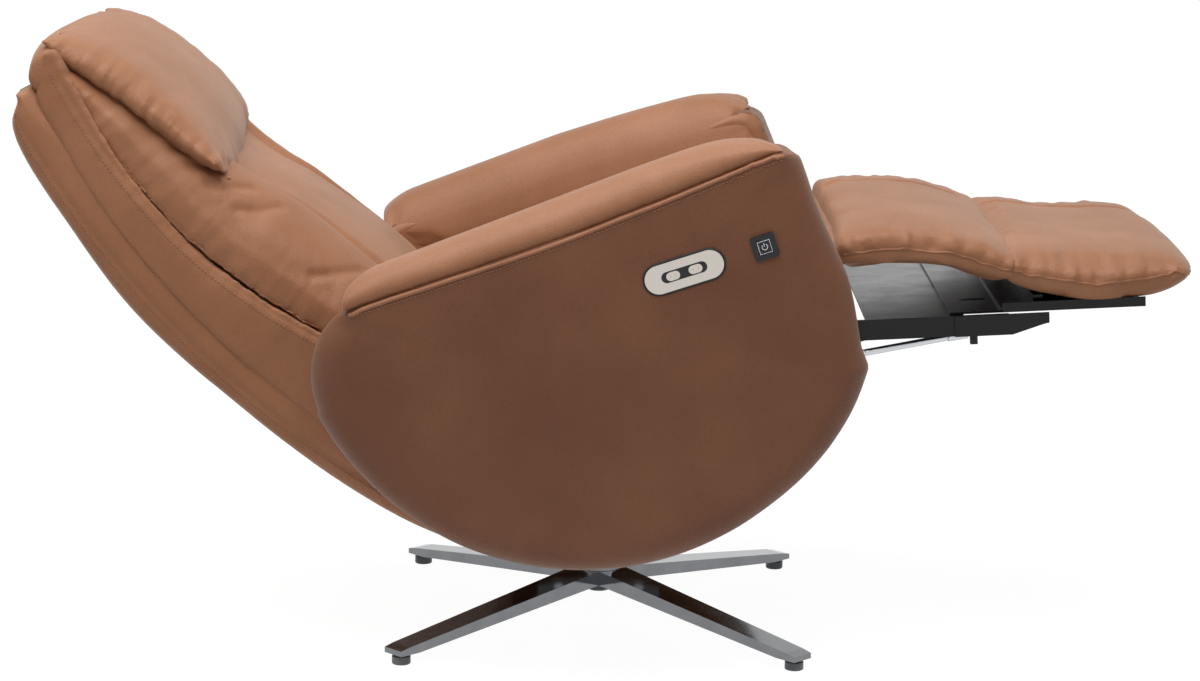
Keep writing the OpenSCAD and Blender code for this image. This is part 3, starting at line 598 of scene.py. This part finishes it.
def armOutline(count, side):
    front = arm["front"][side]
    turn = acos((front - arm["hub"][0]) / arm["round"]) * 180 / pi
    nose = front - arm["nose"][side]
    full = lambda a: arm["round"] + arm["bulge"][1] * hill(a + 44, 24)
    raw = ([(arm["hub"][0] + full(a) * cos(radians(a)), arm["hub"][1] + full(a) * sin(radians(a)))
            for a in spread(-170, -turn, 60)]
           + [(front + arm["bulge"][0] * hill(z - 412, 72), z) for z in range(330, 530, 12)]
           + arcPoints((nose, armSeam(nose, side) - arm["nose"][side]), arm["nose"][side], 0, 90, 8)
           + [(x, armSeam(x, side)) for x in range(nose - 8, -181, -14)]
           + arcPoints(arm["corner"], arm["cornerRound"], 95, 185, 24))
    ring = [Vector((x, z, 0)) for x, z in raw]
    ring.append(ring[0].copy())
    total = sum((b - a).length for a, b in zip(ring, ring[1:]))
    return evenPath(ring, total / count / mm)[:count]


def armBody(side):
    # rings run from the outer face's middle over its edge, across, and to the inner middle;
    # the edge is tight under the pad's seam and round everywhere else
    outline = armOutline(330, side)
    mid = Vector((*arm["mid"], 0))
    front = arm["front"][side]
    tight = [smooth((p.y - armSeam(p.x, side) + 24) / 20)
             * smooth((p.x + 262) / 30) * smooth((front + 6 - p.x) / 16) for p in outline]

    def ring(place):
        # place gives y, inset and share for an outline point that is tight or not
        out = []
        for p, t in zip(outline, tight):
            y, inset, share = place(t)
            away = mid - p
            q = mid.lerp(p + away * (inset / away.length), share)
            out.append(seatPoint(q.x, side * y, q.y))
        return out
    edge = lambda t: mix(arm["edge"], 8, t)
    drop = lambda t: mix(arm["edgeDrop"], 10, t)
    outer, inner = arm["outer"] - arm["sink"], arm["inner"]
    rings = []
    for k in range(1, 19):
        share = k / 18
        out = outer + (arm["sink"] + arm["crown"]) * (1 - share ** 3)
        rings.append(ring(lambda t: (out, edge(t), share)))
    for k in range(1, 13):
        a = pi / 2 * k / 12
        rings.append(ring(lambda t: (outer - drop(t) * (1 - cos(a)),
                                     mix(edge(t), -arm["swell"] * (1 - t), sin(a)), 1)))
    for k in range(1, 9):
        rings.append(ring(lambda t: (mix(outer - drop(t), inner + arm["innerDrop"], k / 9),
                                     mix(-arm["swell"] * (1 - t), 0, k / 9), 1)))
    for k in range(0, 9):
        a = pi / 2 * k / 8
        rings.append(ring(lambda t: (inner + arm["innerDrop"] * (1 - sin(a)),
                                     arm["innerEdge"] * (1 - cos(a)), 1)))
    for k in range(17, 0, -1):
        rings.append(ring(lambda t: (inner, arm["innerEdge"], k / 18)))
    piece = meshObject("armBody" + ("Left" if side > 0 else "Right"), *tube(rings), shadedPanelLeather)
    rim = evenPath([seatPoint(front - x, side * (arm["inner"] + 6), z) for x, z in
                    ((8, 380), (6, 450), (6, 520), (10, 560))])
    seamed(piece, [rim], depth=2, width=5, pucker=2.6, reachOut=26, wave=15)
    corner = evenPath([seatPoint(x, side * arm["outer"], armSeam(x, side) - 4)
                       for x in range(240, front - 4, 8)])
    seamed(piece, [corner], depth=0, width=3, pucker=2.4, reachOut=22, wave=13)
    # faces turned towards the chair's middle keep the plain cognac; every other face of the arm body keeps
    # the darker copy, which is painted shade
    piece.data.materials.append(cognac)
    for face in piece.data.polygons:
        if face.normal.y * side < -0.5:
            face.material_index = 1
    return rippled(piece, (1.6, (0.13, 0.13, 0.13), side), (0.5, (0.05, 0.05, 0.05), 4))


armPad = {"x": (-247, {-1: 328, 1: 313}), "rise": 37, "over": 2, "round": 2.6, "skirt": 100, "slope": 0.56,
          "wrap": 0.1,
          "swell": [(-247, 0), (-241, 0.3), (-228, 0.52), (-215, 0.66), (-200, 0.78), (-184, 0.82),
                    (-32, 0.96), (97, 1), (181, 0.97), (246, 0.84), (290, 0.52), (308, 0.3), (320, 0.12),
                    (328, 0)]}


def armTop(side):
    # the pad's leather runs over the crest and a hand's width down the inner face
    x0, x1 = armPad["x"][0], armPad["x"][1][side]
    wrap, slope = armPad["wrap"], armPad["slope"]

    def skirt(s):
        return armPad["skirt"] * clamp(min(s / 0.04, (1 - s) / 0.03), 0.3)

    def upper(s, t):
        # both ends sink into the body, and the front one turns in with its rounded corner
        x = mix(x0, x1, s)
        ends = max(smooth((x - x1 + 20) / 20), smooth((x0 + 14 - x) / 14))
        base = armSeam(x, side) - 5 * ends
        inner = arm["inner"] + 12 * smooth((x - x1 + 22) / 22) ** 2
        if t < wrap:
            return seatPoint(x, side * (inner - 4 - 2 * sin(pi * t / wrap)),
                             base - mix(skirt(s), slope * skirt(s), t / wrap))
        v = 2 * (t - wrap) / (1 - wrap) - 1
        along = x + (armPad["x"][1][-1] - x1) * smooth((x - 150) / 140)
        lift = armPad["rise"] * smoothLookup(along, armPad["swell"])
        low = slope * skirt(s) if v < 0 else -1
        return seatPoint(x, side * mix(inner - 4, arm["outer"] + armPad["over"] - 7 * ends, (v + 1) / 2),
                         base - low + (low + lift) * dome(v, 2.1 if v < 0 else armPad["round"]))

    def lower(s, t):
        x = mix(x0, x1, s)
        base = armSeam(x, side)
        if t < wrap:
            return seatPoint(x, side * (arm["inner"] + 14), mix(base - skirt(s), base - 6, t / wrap))
        return seatPoint(x, side * mix(arm["inner"] + 14, arm["outer"] - 2, (t - wrap) / (1 - wrap)),
                         base - 6)
    name = "armTop" + ("Left" if side > 0 else "Right")
    pad = padForm(name, upper, lower, 60, 28)
    pad = finer(puffed(pad, voxel=6, pressure=3, reach=4))
    outside = [seatPoint(x, side * arm["outer"], armSeam(x, side) + 1) for x in range(x0 + 2, x1, 8)]
    across = [seatPoint(x1 - 4, side * y, armSeam(x1, side)) for y in range(arm["inner"], arm["outer"], 8)]
    far = seatPoint(x1, 0, 600).x
    return seamed(pad, [evenPath(outside), evenPath(across)], depth=1.2, width=4, pucker=1.0,
                  reachOut=18, wave=14, strength=lambda p: 0.6 + 3.2 * smooth((p.x - far + 0.12) / 0.1))


def sewnLine(name, tree, line):
    # a row of stitches laid on the leather nearest to a line
    laid = [onSurface(tree, p) for p in evenPath(line, thread["lie"])]
    return merged(name, stitchLine([q for q, _ in laid], [n for _, n in laid]), seamThread)


def weltOn(name, tree, line, radius, sink=0.5):
    # a folded strip of leather sewn into a seam
    laid = [onSurface(tree, p) for p in evenPath(line, 2.5)]
    path = [q - n * (sink * mm) for q, n in laid]
    return merged(name, [cordMesh(path, radius, [n for _, n in laid])], seamEdge)


def armTrim(side, body):
    tree, word = surfaceOf(body), "Left" if side > 0 else "Right"
    x0, x1 = armPad["x"][0] + 4, armPad["x"][1][side]
    at = lambda drop: [seatPoint(x, side * (arm["outer"] + 6), armSeam(x, side) - drop)
                       for x in range(x0, x1, 6)]
    return [weltOn("armWelt" + word, tree, at(2.5), 2.8), sewnLine("armStitches" + word, tree, at(10))]


pocket = {"at": (166, 491), "half": 31, "round": 13, "deep": 9}


def pocketed(piece):
    # a recess behind the control plate that leaves the rockers room to tilt
    x, z = pocket["at"]
    places = [(x + (pocket["half"] if a <= 90 else -pocket["half"]) + pocket["round"] * cos(radians(a)),
               z + pocket["round"] * sin(radians(a))) for a in range(-80, 280, 20)]
    rings = [[seatPoint(x, -y, z) for x, z in places]
             for y in (arm["outer"] - pocket["deep"], arm["outer"] + 12)]
    cutter = meshObject("pocketCutter", *tube(rings))
    makeNormalsOut(cutter)
    cut = piece.modifiers.new("pocket", "BOOLEAN")
    cut.operation, cut.object, cut.solver = "DIFFERENCE", cutter, "EXACT"
    applyModifiers(piece)
    bpy.data.objects.remove(cutter)


armPieces = {}
for word, side in sides.items():
    body, top = armBody(side), armTop(side)
    if side < 0:
        pocketed(body)
    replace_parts(body, "arm_core_" + word, "arm_outer_pad_" + word, "arm_inner_pad_" + word)
    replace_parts(top, "arm_top_pad_" + word)
    armPieces[word] = [body, top] + armTrim(side, body)
print("arms made")


# Seat cushion: a boxed foam cushion with a soft crown
seat = {"rear": -160, "front": 340, "half": 262, "top": 445, "low": 341.3, "notch": (214, 262, 399)}


def seatBorder(s):
    return mix(seat["top"] - 72, seat["top"] - 34, s)


def seatTop(s, t):
    u, v = 2 * s - 1, 2 * t - 1
    x = mix(seat["rear"], seat["front"], s)
    return seatPoint(x - 6 * (1 - dome(v, 3)) * (1 if u > 0 else -1) * abs(u) ** 8, v * seat["half"],
                     seatBorder(s) + mix(30, 34, s) * dome(u, 4) * dome(v, 3) + 20 * dome(v, 2) * dome(u, 2))


def seatUnder(s, t):
    x = mix(seat["rear"], seat["front"], s)
    z = 9 + lookup(x, [(seat["notch"][0], seat["low"]), (seat["notch"][1], seat["notch"][2])])
    return seatPoint(x, (2 * t - 1) * (seat["half"] - 3), min(z, seatBorder(s) - 6))


seatCushion = puffed(padForm("seatCushion", seatTop, seatUnder, 30, 30), voxel=7, pressure=3,
                     reach=6)
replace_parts(seatCushion, "seat_cushion")
print("seat made")


# Back: cushion with two bolsters and a sunk centre, boxed sides and a shell behind
back = {"top": 27.5, "low": 57.5, "half": 262, "bend": 1240, "shellIn": 1243,
        "shellRear": [(28.3, 1218), (28.5, 1231), (28.8, 1246), (29.2, 1262), (29.8, 1273), (31.1, 1279),
                      (33.4, 1281), (36, 1282), (38, 1285), (41.8, 1290), (46, 1287), (50, 1284), (60, 1285),
                      (65.4, 1279)],
        "gussetRear": [(26.9, 1203), (27.5, 1210), (27.8, 1215), (28.5, 1227), (29.2, 1236), (33, 1243),
                       (45, 1246), (57.5, 1248)],
        "shellFrom": 28.3, "shellLow": 65.4, "centre": 15,
        "crest": [(27.5, 1186), (28.8, 1166), (30, 1150), (34, 1113), (36.3, 1097), (38, 1090), (39.6, 1083),
                  (41.8, 1069), (43.9, 1055), (47.3, 1047), (51.5, 1046), (55, 1054), (57.5, 1078)],
        "channels": 134, "creases": ((35.6, 1.6), (37.3, 1.4), (39.2, 2.0), (41.6, 1.8), (48, 2.4))}


def seamRadius(a):
    return back["bend"] - 50 - 0.115 * max(0, a - 32) ** 2


def backFront(s, t):
    a, v = mix(back["top"], back["low"], s), 2 * t - 1
    y = v * back["half"]
    sunk = back["centre"] * smooth((150 - abs(y)) / 30) * sin(pi * min(1, s + 0.25))
    full = seamRadius(a) - smoothLookup(a, back["crest"]) - sunk
    boxed = mix(3.0, 2.5, smooth((a - 38) / 5))
    return backPoint(a, seamRadius(a) - 10 - (full - 10) * dome(v, boxed) * dome(mix(-0.97, 1, s), 5), y)


def backUnder(s, t):
    a = mix(back["top"], back["low"], s)
    return backPoint(a, seamRadius(a), (2 * t - 1) * (back["half"] - 2))


backCushion = finer(puffed(padForm("backCushion", backFront, backUnder, 48, 48), voxel=6.5,
                           pressure=4, reach=8))
frontSeams = {side: evenPath([backPoint(a, seamRadius(a), side * back["half"])
                              for a in spread(27.6, 57.3, 60)]) for side in (-1, 1)}
cushionTree = surfaceOf(backCushion)
channels = [laidOn(cushionTree, evenPath([backPoint(a, 1080, side * back["channels"])
                                          for a in spread(36, 57, 60)])) for side in (-1, 1)]
seamed(backCushion, channels, depth=6, width=8, pucker=1.2, reachOut=20, wave=20)
seamed(backCushion, list(frontSeams.values()), depth=2.2, width=4, pucker=4.2, reachOut=30, wave=17)
creases = [laidOn(cushionTree, evenPath([backPoint(start + run * k / 20, 1085 - 16 * k / 20,
                                                   side * (258 - 3.4 * k)) for k in range(21)]))
           for side in (-1, 1) for start, run in back["creases"]]
seamed(backCushion, creases, depth=3, width=8, pucker=2.2, reachOut=24, wave=18)
rippled(backCushion, (2.0, (0.11, 0.11, 0.11), 2), (0.7, (0.035, 0.05, 0.035), 5))
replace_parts(backCushion, "back_cushion")


def gussetPiece(side):
    def inner(s, t):
        a = mix(back["top"] - 0.6, back["low"], s)
        return backPoint(a, seamRadius(a) - 8, side * mix(235, back["half"] - 3, t))

    def outer(s, t):
        a = mix(back["top"] - 0.6, back["low"], s)
        return backPoint(a, smoothLookup(a, back["gussetRear"]) - 3 * (1 - dome(t, 3)),
                         side * mix(235, back["half"] - 7, t))
    name = "backGusset" + ("Left" if side > 0 else "Right")
    piece = finer(puffed(padForm(name, inner, outer, 50, 8), voxel=5, pressure=3, reach=5))
    seamed(piece, [frontSeams[side]], depth=1.8, width=4, pucker=1.7, reachOut=20, wave=21)
    return rippled(piece, (1.0, (0.07, 0.07, 0.07), 6))


gussets = {word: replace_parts(gussetPiece(side), "back_gusset_" + word) for word, side in sides.items()}


def shellInner(s, t):
    a = mix(back["shellFrom"], back["shellLow"], s)
    return backPoint(a, back["shellIn"] - 15 - 8 * smooth((29.5 - a) / 1.2),
                     (2 * t - 1) * (back["half"] - 20))


def shellOuter(s, t):
    u, v = 2 * s - 1, 2 * t - 1
    a = mix(back["shellFrom"], back["shellLow"], s)
    out = smoothLookup(a, back["shellRear"]) + 4
    return backPoint(a, mix(back["shellIn"] + 8, out, dome(v, 9) * dome(u, 11)), v * (back["half"] - 2))


backShell = finer(remeshed(padForm("backShell", shellInner, shellOuter, 70, 36), 6, 8))
shellSeams = {side: evenPath([backPoint(a, back["shellIn"] + 19, side * (back["half"] - 2))
                              for a in spread(28.9, 64, 60)]) for side in (-1, 1)}
seamed(backShell, list(shellSeams.values()), depth=1.6, width=3.5, pucker=0.6, reachOut=15, wave=22)
rippled(backShell, (1.3, (0.12, 0.12, 0.12), 7))
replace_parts(backShell, "back_shell")

crown = {"radius": (1227, 1180), "from": 28.4,
         "up": [(1180, 26.2), (1197, 26.25), (1210, 26.5), (1221, 27.2), (1227, 27.9)]}


def crownUpper(s, t):
    r = mix(*crown["radius"], s)
    v = 2 * t - 1
    top = smoothLookup(r, crown["up"]) + 0.12 * v + 0.3 * abs(v) ** 2.5
    return backPoint(27.9 - (27.9 - top) * dome(v, 5) * dome(2 * s - 1, 6), r, v * (back["half"] - 8))


def crownUnder(s, t):
    return backPoint(crown["from"] + 0.5, mix(*crown["radius"], s), (2 * t - 1) * (back["half"] - 8))


backTrim = []
cushionTree = surfaceOf(backCushion)
shellTree = surfaceOf(backShell)
for word, side in sides.items():
    name, gussetTree = word.capitalize(), surfaceOf(gussets[word])
    backTrim += [weltOn("backWelt" + name, cushionTree, frontSeams[side], 1.9, 1.0),
                 sewnLine("backStitches" + name, gussetTree,
                          [backPoint(a, seamRadius(a) + 8.5, side * (back["half"] + 4))
                           for a in spread(27.9, 57, 80)]),
                 sewnLine("shellStitches" + name, shellTree,
                          [p + Vector((0, side * 0.006, 0)) + (p - bendMid).normalized() * 0.006
                           for p in shellSeams[side]])]

backCrown = remeshed(padForm("backCrown", crownUpper, crownUnder, 16, 40), 5, 5)
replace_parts(backCrown, "back_crown")
print("back made")


# Headrest pillow: a stuffed roll that lies over the cushion's top
pillow = {"half": 250, "from": 26.02, "fromEnds": 0.5, "to": 38.9, "skew": (0.12, -0.95),
          "toEnds": 0.5, "toMid": 0.75, "span": (26.1, 38.8),
          "up": [(26.1, 1178), (27.2, 1149), (28.4, 1128), (30.6, 1105), (32.8, 1091), (34.7, 1084),
                 (36.3, 1084), (37.9, 1087), (38.8, 1094)],
          "low": [(26.1, 1184), (27.5, 1178), (28.4, 1157), (30, 1141), (34, 1119), (38, 1102), (38.8, 1098)],
          "edge": [(26.1, 1198), (27.4, 1191), (29.2, 1170), (32.8, 1136), (36.3, 1110), (38, 1095),
                   (38.8, 1090)]}


def pillowRim(a, v):
    # where the end's seam runs: it lies low over the cushion's bolsters and higher between them
    low = mix(smoothLookup(a, pillow["low"]), smoothLookup(a, pillow["edge"]),
              smooth((abs(v) - 0.78) / 0.2))
    return low, mix(low, smoothLookup(a, pillow["up"]), 0.12)


def pillowAngle(s, v):
    # rounded in plan at its four corners, and pulled a little lower at the right
    return mix(pillow["from"] + pillow["skew"][0] * v + pillow["fromEnds"] * abs(v) ** 2.5,
               pillow["to"] + pillow["skew"][1] * v + pillow["toMid"] * (1 - abs(v) ** 3)
               - pillow["toEnds"] * abs(v) ** 7, s)


def pillowSheet(s, t, up):
    v = 2 * t - 1
    even = mix(*pillow["span"], s)
    low, rim = pillowRim(even, v)
    if up:
        full = dome(v, mix(2.6, 3.3, s)) * dome(mix(-0.93, 1, s), 4)
        r = mix(rim - 2, smoothLookup(even, pillow["up"]), full) - 4 * hill(v, 0.35) * smooth(s * 2)
    else:
        r = mix(rim, low, dome(v, 5) * dome(mix(-0.97, 1, s), 4))
    return backPoint(pillowAngle(s, v), r, v * pillow["half"])


headPillow = puffed(padForm("headPillow", lambda s, t: pillowSheet(s, t, True),
                            lambda s, t: pillowSheet(s, t, False), 36, 44),
                    voxel=5.5, pressure=4, reach=6)
finer(headPillow)
pillowEnds = [evenPath([backPoint(pillowAngle(s, side), pillowRim(mix(*pillow["span"], s), 1)[1],
                                  side * 249) for s in spread(0, 1, 40)]) for side in (-1, 1)]
seamed(headPillow, pillowEnds, depth=1.4, width=5, pucker=3, reachOut=22, wave=9)
seamed(headPillow, pillowEnds, depth=0, width=5, pucker=3.6, reachOut=52, wave=25)
lowSeam = evenPath([backPoint(38.7, 1094, y) for y in range(-236, 237, 8)])
seamed(headPillow, [lowSeam], depth=1.2, width=5, pucker=1.6, reachOut=22, wave=24)
rippled(headPillow, (1.8, (0.1, 0.14, 0.1), 8), (0.6, (0.03, 0.05, 0.03), 9))
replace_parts(headPillow, "headrest_pillow")
print("pillow made")


# Footrest: a calf pad that folds and a foot pad that slides out, each with a sewn border below
foot = {"half": 262, "calf": (26.9, 250), "foot": (234, 487),
        "bottom": [(30, 40), (60, 44), (99, 45), (166, 37), (220, 18), (273, 3), (341, -9), (408, -8),
                   (449, -3), (475, 5), (488, 11)],
        "top": [(24, 90), (66, 91), (111, 90), (171, 81), (215, 66), (245, 55), (275, 53), (297, 51),
                (327, 45), (372, 42), (432, 39), (468, 31), (488, 20)],
        "border": 17, "cornerCut": {-1: 32, 1: 54}, "valley": 3, "lengthSeam": 138}


def endRound(ends, u, power):
    # only the outer end of each pad is rounded; the two meet full against each other
    return dome(min(u, 0), power * 2.5) if ends == foot["calf"] else dome(max(u, 0), power)


def padCut(ends, s, v):
    # how far the foot pad's tip is drawn in towards its corners
    return foot["cornerCut"][1 if v > 0 else -1] * s ** 3 * (1 - dome(v, 2.6)) if ends == foot["foot"] else 0


def rimLift(x):
    low = smoothLookup(x, foot["bottom"])
    return min(low + foot["border"], max(smoothLookup(x, foot["top"]), low + 8) - 4)


def footSheet(ends, s, t, up):
    x, u, v = mix(*ends, s), 2 * s - 1, 2 * t - 1
    low = smoothLookup(x, foot["bottom"])
    high = max(smoothLookup(x, foot["top"]) - foot["valley"] * hill(x - 242.6, 13), low + 8)
    cut = padCut(ends, s, v)
    if up:
        rim = low + (rimLift(x) - low) * endRound(ends, u, 8) + 1
        z = mix(rim, high, dome(v, 3.2) * endRound(ends, u, 4))
        return railPoint(x - cut, v * foot["half"], z)
    return railPoint(x - cut, v * (foot["half"] - 4), low)


def rimPlace(ends, s, side):
    x = mix(*ends, s)
    return railPoint(x - padCut(ends, s, side), side * foot["half"], rimLift(x))


def rimHeight(x):
    u = (x - swingPoint.x) / mm
    return railPoint(u, 0, smoothLookup(u, foot["bottom"]) + foot["border"]).z


def footPiece(name, ends, along):
    piece = padForm(name, lambda s, t: footSheet(ends, s, t, True),
                    lambda s, t: footSheet(ends, s, t, False), along, 44)
    finer(puffed(piece, voxel=5.5, pressure=3, reach=5))
    seam = [railPoint(x, foot["lengthSeam"], 120) for x in range(int(ends[0]) + 6, int(ends[1]) - 16, 8)]
    seamed(piece, [laidOn(surfaceOf(piece), evenPath(seam))], depth=6, width=7, pucker=2.4,
           reachOut=24, wave=20)
    rims = [evenPath([rimPlace(ends, s, side) for s in spread(0, 1, 40)]) for side in (-1, 1)]
    seamed(piece, rims, depth=3, width=3.4, pucker=9, reachOut=44, wave=25,
           strength=lambda p: smooth((p.z - rimHeight(p.x) + 0.004) / 0.012))
    return rippled(piece, (2.0, (0.09, 0.14, 0.1), 11), (0.6, (0.03, 0.06, 0.03), 12))


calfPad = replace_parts(footPiece("calfPad", foot["calf"], 30), "calf_pad")
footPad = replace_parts(footPiece("footPad", foot["foot"], 36), "foot_pad")
footTrim = {}
for name, pad, ends in (("calf", calfPad, foot["calf"]), ("foot", footPad, foot["foot"])):
    tree = surfaceOf(pad)
    edges = [[rimPlace(ends, mix(0.03, 0.985, k / 40), side) for k in range(41)] for side in (-1, 1)]
    if name == "foot":
        tip = [railPoint(foot["foot"][1] + 2 - padCut(ends, 1, v), v * foot["half"], 10)
               for v in spread(-0.97, 0.97, 60)]
        edges = [edges[0] + tip + edges[1][::-1]]
    footTrim[name] = [weltOn(name + "Welt" + str(i), tree, line, 1.7, 0.6) for i, line in enumerate(edges)]


# Knee flap: a leather strip that closes the gap over the calf pad, made as it lies at rest
flap = {"seat": (330, 430), "calf": (38, 70), "half": 248, "thick": 3, "tuck": 0.35, "under": (0.7, 0, -0.7)}


def flapPoint(s, y, drop):
    start = seatPoint(flap["seat"][0], y, flap["seat"][1])
    end = railPoint(flap["calf"][0], y, flap["calf"][1])
    return start.lerp(end, mix(-flap["tuck"], 1 + flap["tuck"], s)) + Vector(flap["under"]) * (drop * mm)


kneeFlap = padForm("kneeFlap", lambda s, t: flapPoint(s, (2 * t - 1) * flap["half"], 0),
                   lambda s, t: flapPoint(s, (2 * t - 1) * flap["half"], flap["thick"]), 40, 40)
rippled(kneeFlap, (0.8, (0.04, 0.06, 0.04), 13))
print("footrest made")


# Controls: the marks on the keys, and a dark cord of painted shade where the plate meets the leather
marks = {"control": (166, 491), "power": (267, 491), "plate": (100.4, 37.4), "joint": 1.5, "line": 0.5,
         "square": 15, "ring": 3.4, "dots": 3.2, "dot": 0.55}


def flatPath(centre, places, y):
    return [seatPoint(centre[0] + x, y, centre[1] + z) for x, z in places]


def stadiumPath(long, high):
    reach = (long - high) / 2
    end = [(reach + high / 2 * sin(a), high / 2 * cos(a)) for a in spread(0, pi, 14)]
    return end + [(-x, -z) for x, z in end]


outward = Vector((0, -1, 0))
long, high = marks["plate"]
plateLine = flatPath(marks["control"], stadiumPath(long, high), -arm["outer"] - 2)
# a black cord round the plate's edge: painted shade for the shadow line where the plate sits in the leather
plateShadeCord = merged("controlPlateShadeCord", [cordMesh(plateLine, marks["joint"], [outward] * len(plateLine),
                    closed=True)], bumperRubber)
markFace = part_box("power_button")[0][1] / mm + 0.15
half = marks["square"] / 2
square = flatPath(marks["power"], [(-half, -half), (half, -half), (half, half), (-half, half)], markFace)
arc = flatPath(marks["power"], [(marks["ring"] * sin(a), marks["ring"] * cos(a)) for a in
               spread(radians(38), radians(322), 30)], markFace)
bar = flatPath(marks["power"], [(0, marks["ring"] + 1.3), (0, 0.6)], markFace)
powerMark = merged("powerSymbol", [cordMesh(line, marks["line"], [outward] * len(line), 6, closed)
                   for line, closed in ((square, True), (arc, False), (bar, False))], symbolPaint)
keyDots = {}
for end in ("Rear", "Front"):
    name = "rocker_" + end.lower()
    low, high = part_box(name)
    centre = Vector((low[0] + high[0], 0, low[2] + high[2])) / 2
    run = (seatPoint(1, 0, 0) - seatPoint(0, 0, 0)).normalized()
    parts = []
    for shift in (-marks["dots"], marks["dots"]):
        p = Vector((centre.x, low[1] + 0.0001, centre.z)) + run * (shift * mm)
        parts.append(cordMesh([p, p + outward * 0.0003], marks["dot"], [Vector((0, 0, 1))] * 2, 10))
    keyDots[name] = merged("rockerDots" + end, parts, blackAbs)
print("controls marked")


# Rides: every piece moves with the body that carries it
for word in sides:
    for piece in armPieces[word]:
        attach(piece, "seat")
    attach(gussets[word], "back")
for piece, body, fill in ((seatCushion, "seat", 0.85), (backCushion, "back", 0.7), (backCrown, "back", 0.6),
                          (backShell, "back", 0.8), (headPillow, "headrest", 0.7),
                          (footPad, "foot_slide", 0.65), (calfPad, "leg_frame", 0.65)):
    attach(piece, body)
for piece in [calfPad] + footTrim["calf"]:
    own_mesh(piece)
for body, pieces in (("back", backTrim), ("leg_frame", footTrim["calf"]), ("foot_slide", footTrim["foot"]),
                     ("seat", [plateShadeCord]), ("power_button", [powerMark]),
                     ("rocker_rear", [keyDots["rocker_rear"]]), ("rocker_front", [keyDots["rocker_front"]])):
    for piece in pieces:
        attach(piece, body)
        ("leather_top" if "Welt" in piece.name or "Stitches" in piece.name
                else "silver_trim" if piece == powerMark else "black_plastic")
tuple(flapPoint(0.2, 0, 0))
tuple(flapPoint(0.8, 0, 0))
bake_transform(kneeFlap)


# Studio: a pale floor and backdrop, one broad lamp above and soft light all round
studio = {"floor": 14.0, "world": 0.165, "power": 108, "size": (3.4, 2.4), "at": (-0.4, -0.75, 2.9),
          "target": (0, 0, 0.4)}


def seenDirectly(tree):
    # 1 where the lens sees the surface itself or through a mirror or glass, else 0
    path = node(tree, "ShaderNodeLightPath").outputs
    seen = node(tree, "ShaderNodeMath", {"operation": "MAXIMUM"},
                {0: path["Is Camera Ray"], 1: path["Is Glossy Ray"]})
    return node(tree, "ShaderNodeMath", {"operation": "MAXIMUM"},
                {0: seen.outputs[0], 1: path["Is Transmission Ray"]}).outputs[0]


def paleStage(name):
    # matt painted studio floor that the lens and polished metal see as plain white
    material, tree, shader, place = newMaterial(name)
    mottle = cloudy(tree, place, 2.0, 2.0)
    coloured(tree, shader, mottle.outputs["Fac"], (0.3, 0.7), ("#e9e9e9", "#eeeeee"))
    setShader(shader, **{"Roughness": 0.9, "Specular IOR Level": 0.1})
    white = node(tree, "ShaderNodeEmission", {"Color": (1, 1, 1, 1), "Strength": 1.2})
    share = node(tree, "ShaderNodeMath", {"operation": "MULTIPLY", 1: 0.8}, {0: seenDirectly(tree)})
    both = node(tree, "ShaderNodeMixShader", {}, {"Fac": share.outputs[0], 1: shader.outputs[0],
                2: white.outputs[0]})
    tree.links.new(both.outputs[0], tree.nodes["Material Output"].inputs["Surface"])
    return material


half = studio["floor"] / 2
floorPiece = meshObject("studioFloor", [Vector((x * half, y * half, -0.0005)) for x, y in
                        ((-1, -1), (1, -1), (1, 1), (-1, 1))], [(0, 1, 2, 3)], paleStage("mattStudioFloor"))

world = bpy.data.worlds.new("studioWorld")
scene.world = world
world.use_nodes = True
sky = world.node_tree
sky.nodes.clear()
glow = node(sky, "ShaderNodeBackground", {"Color": (1, 1, 1, 1), "Strength": studio["world"]})
seenGlow = node(sky, "ShaderNodeBackground", {"Color": (1, 1, 1, 1), "Strength": 1.0})
mixed = node(sky, "ShaderNodeMixShader", {}, {"Fac": seenDirectly(sky), 1: glow.outputs[0],
             2: seenGlow.outputs[0]})
node(sky, "ShaderNodeOutputWorld", {}, {"Surface": mixed.outputs[0]})


lamp = bpy.data.lights.new("topLamp", "AREA")
lamp.shape, lamp.energy = "RECTANGLE", studio["power"]
lamp.size, lamp.size_y = studio["size"]
lampItem = linked("topLamp", lamp)
lampItem.location = studio["at"]
lampItem.rotation_euler = (Vector(studio["target"]) - lampItem.location).to_track_quat("-Z", "Y").to_euler()

# Camera: a long lens a little above the armrests, level but for a slight roll
view = {"at": (-0.003, -4.177, 1.176), "down": 10.87, "roll": 0.84, "lens": 96.1}
camera = bpy.data.cameras.new("camera")
camera.lens, camera.sensor_width, camera.clip_end = view["lens"], 36, 60
cameraItem = linked("camera", camera)
cameraItem.location = view["at"]
turn = Euler((radians(90 - view["down"]), 0, 0)).to_matrix() @ Matrix.Rotation(radians(view["roll"]), 3, "Z")
cameraItem.rotation_euler = turn.to_euler()
scene.camera = cameraItem
scene.view_settings.view_transform = "Standard"
print("studio made")
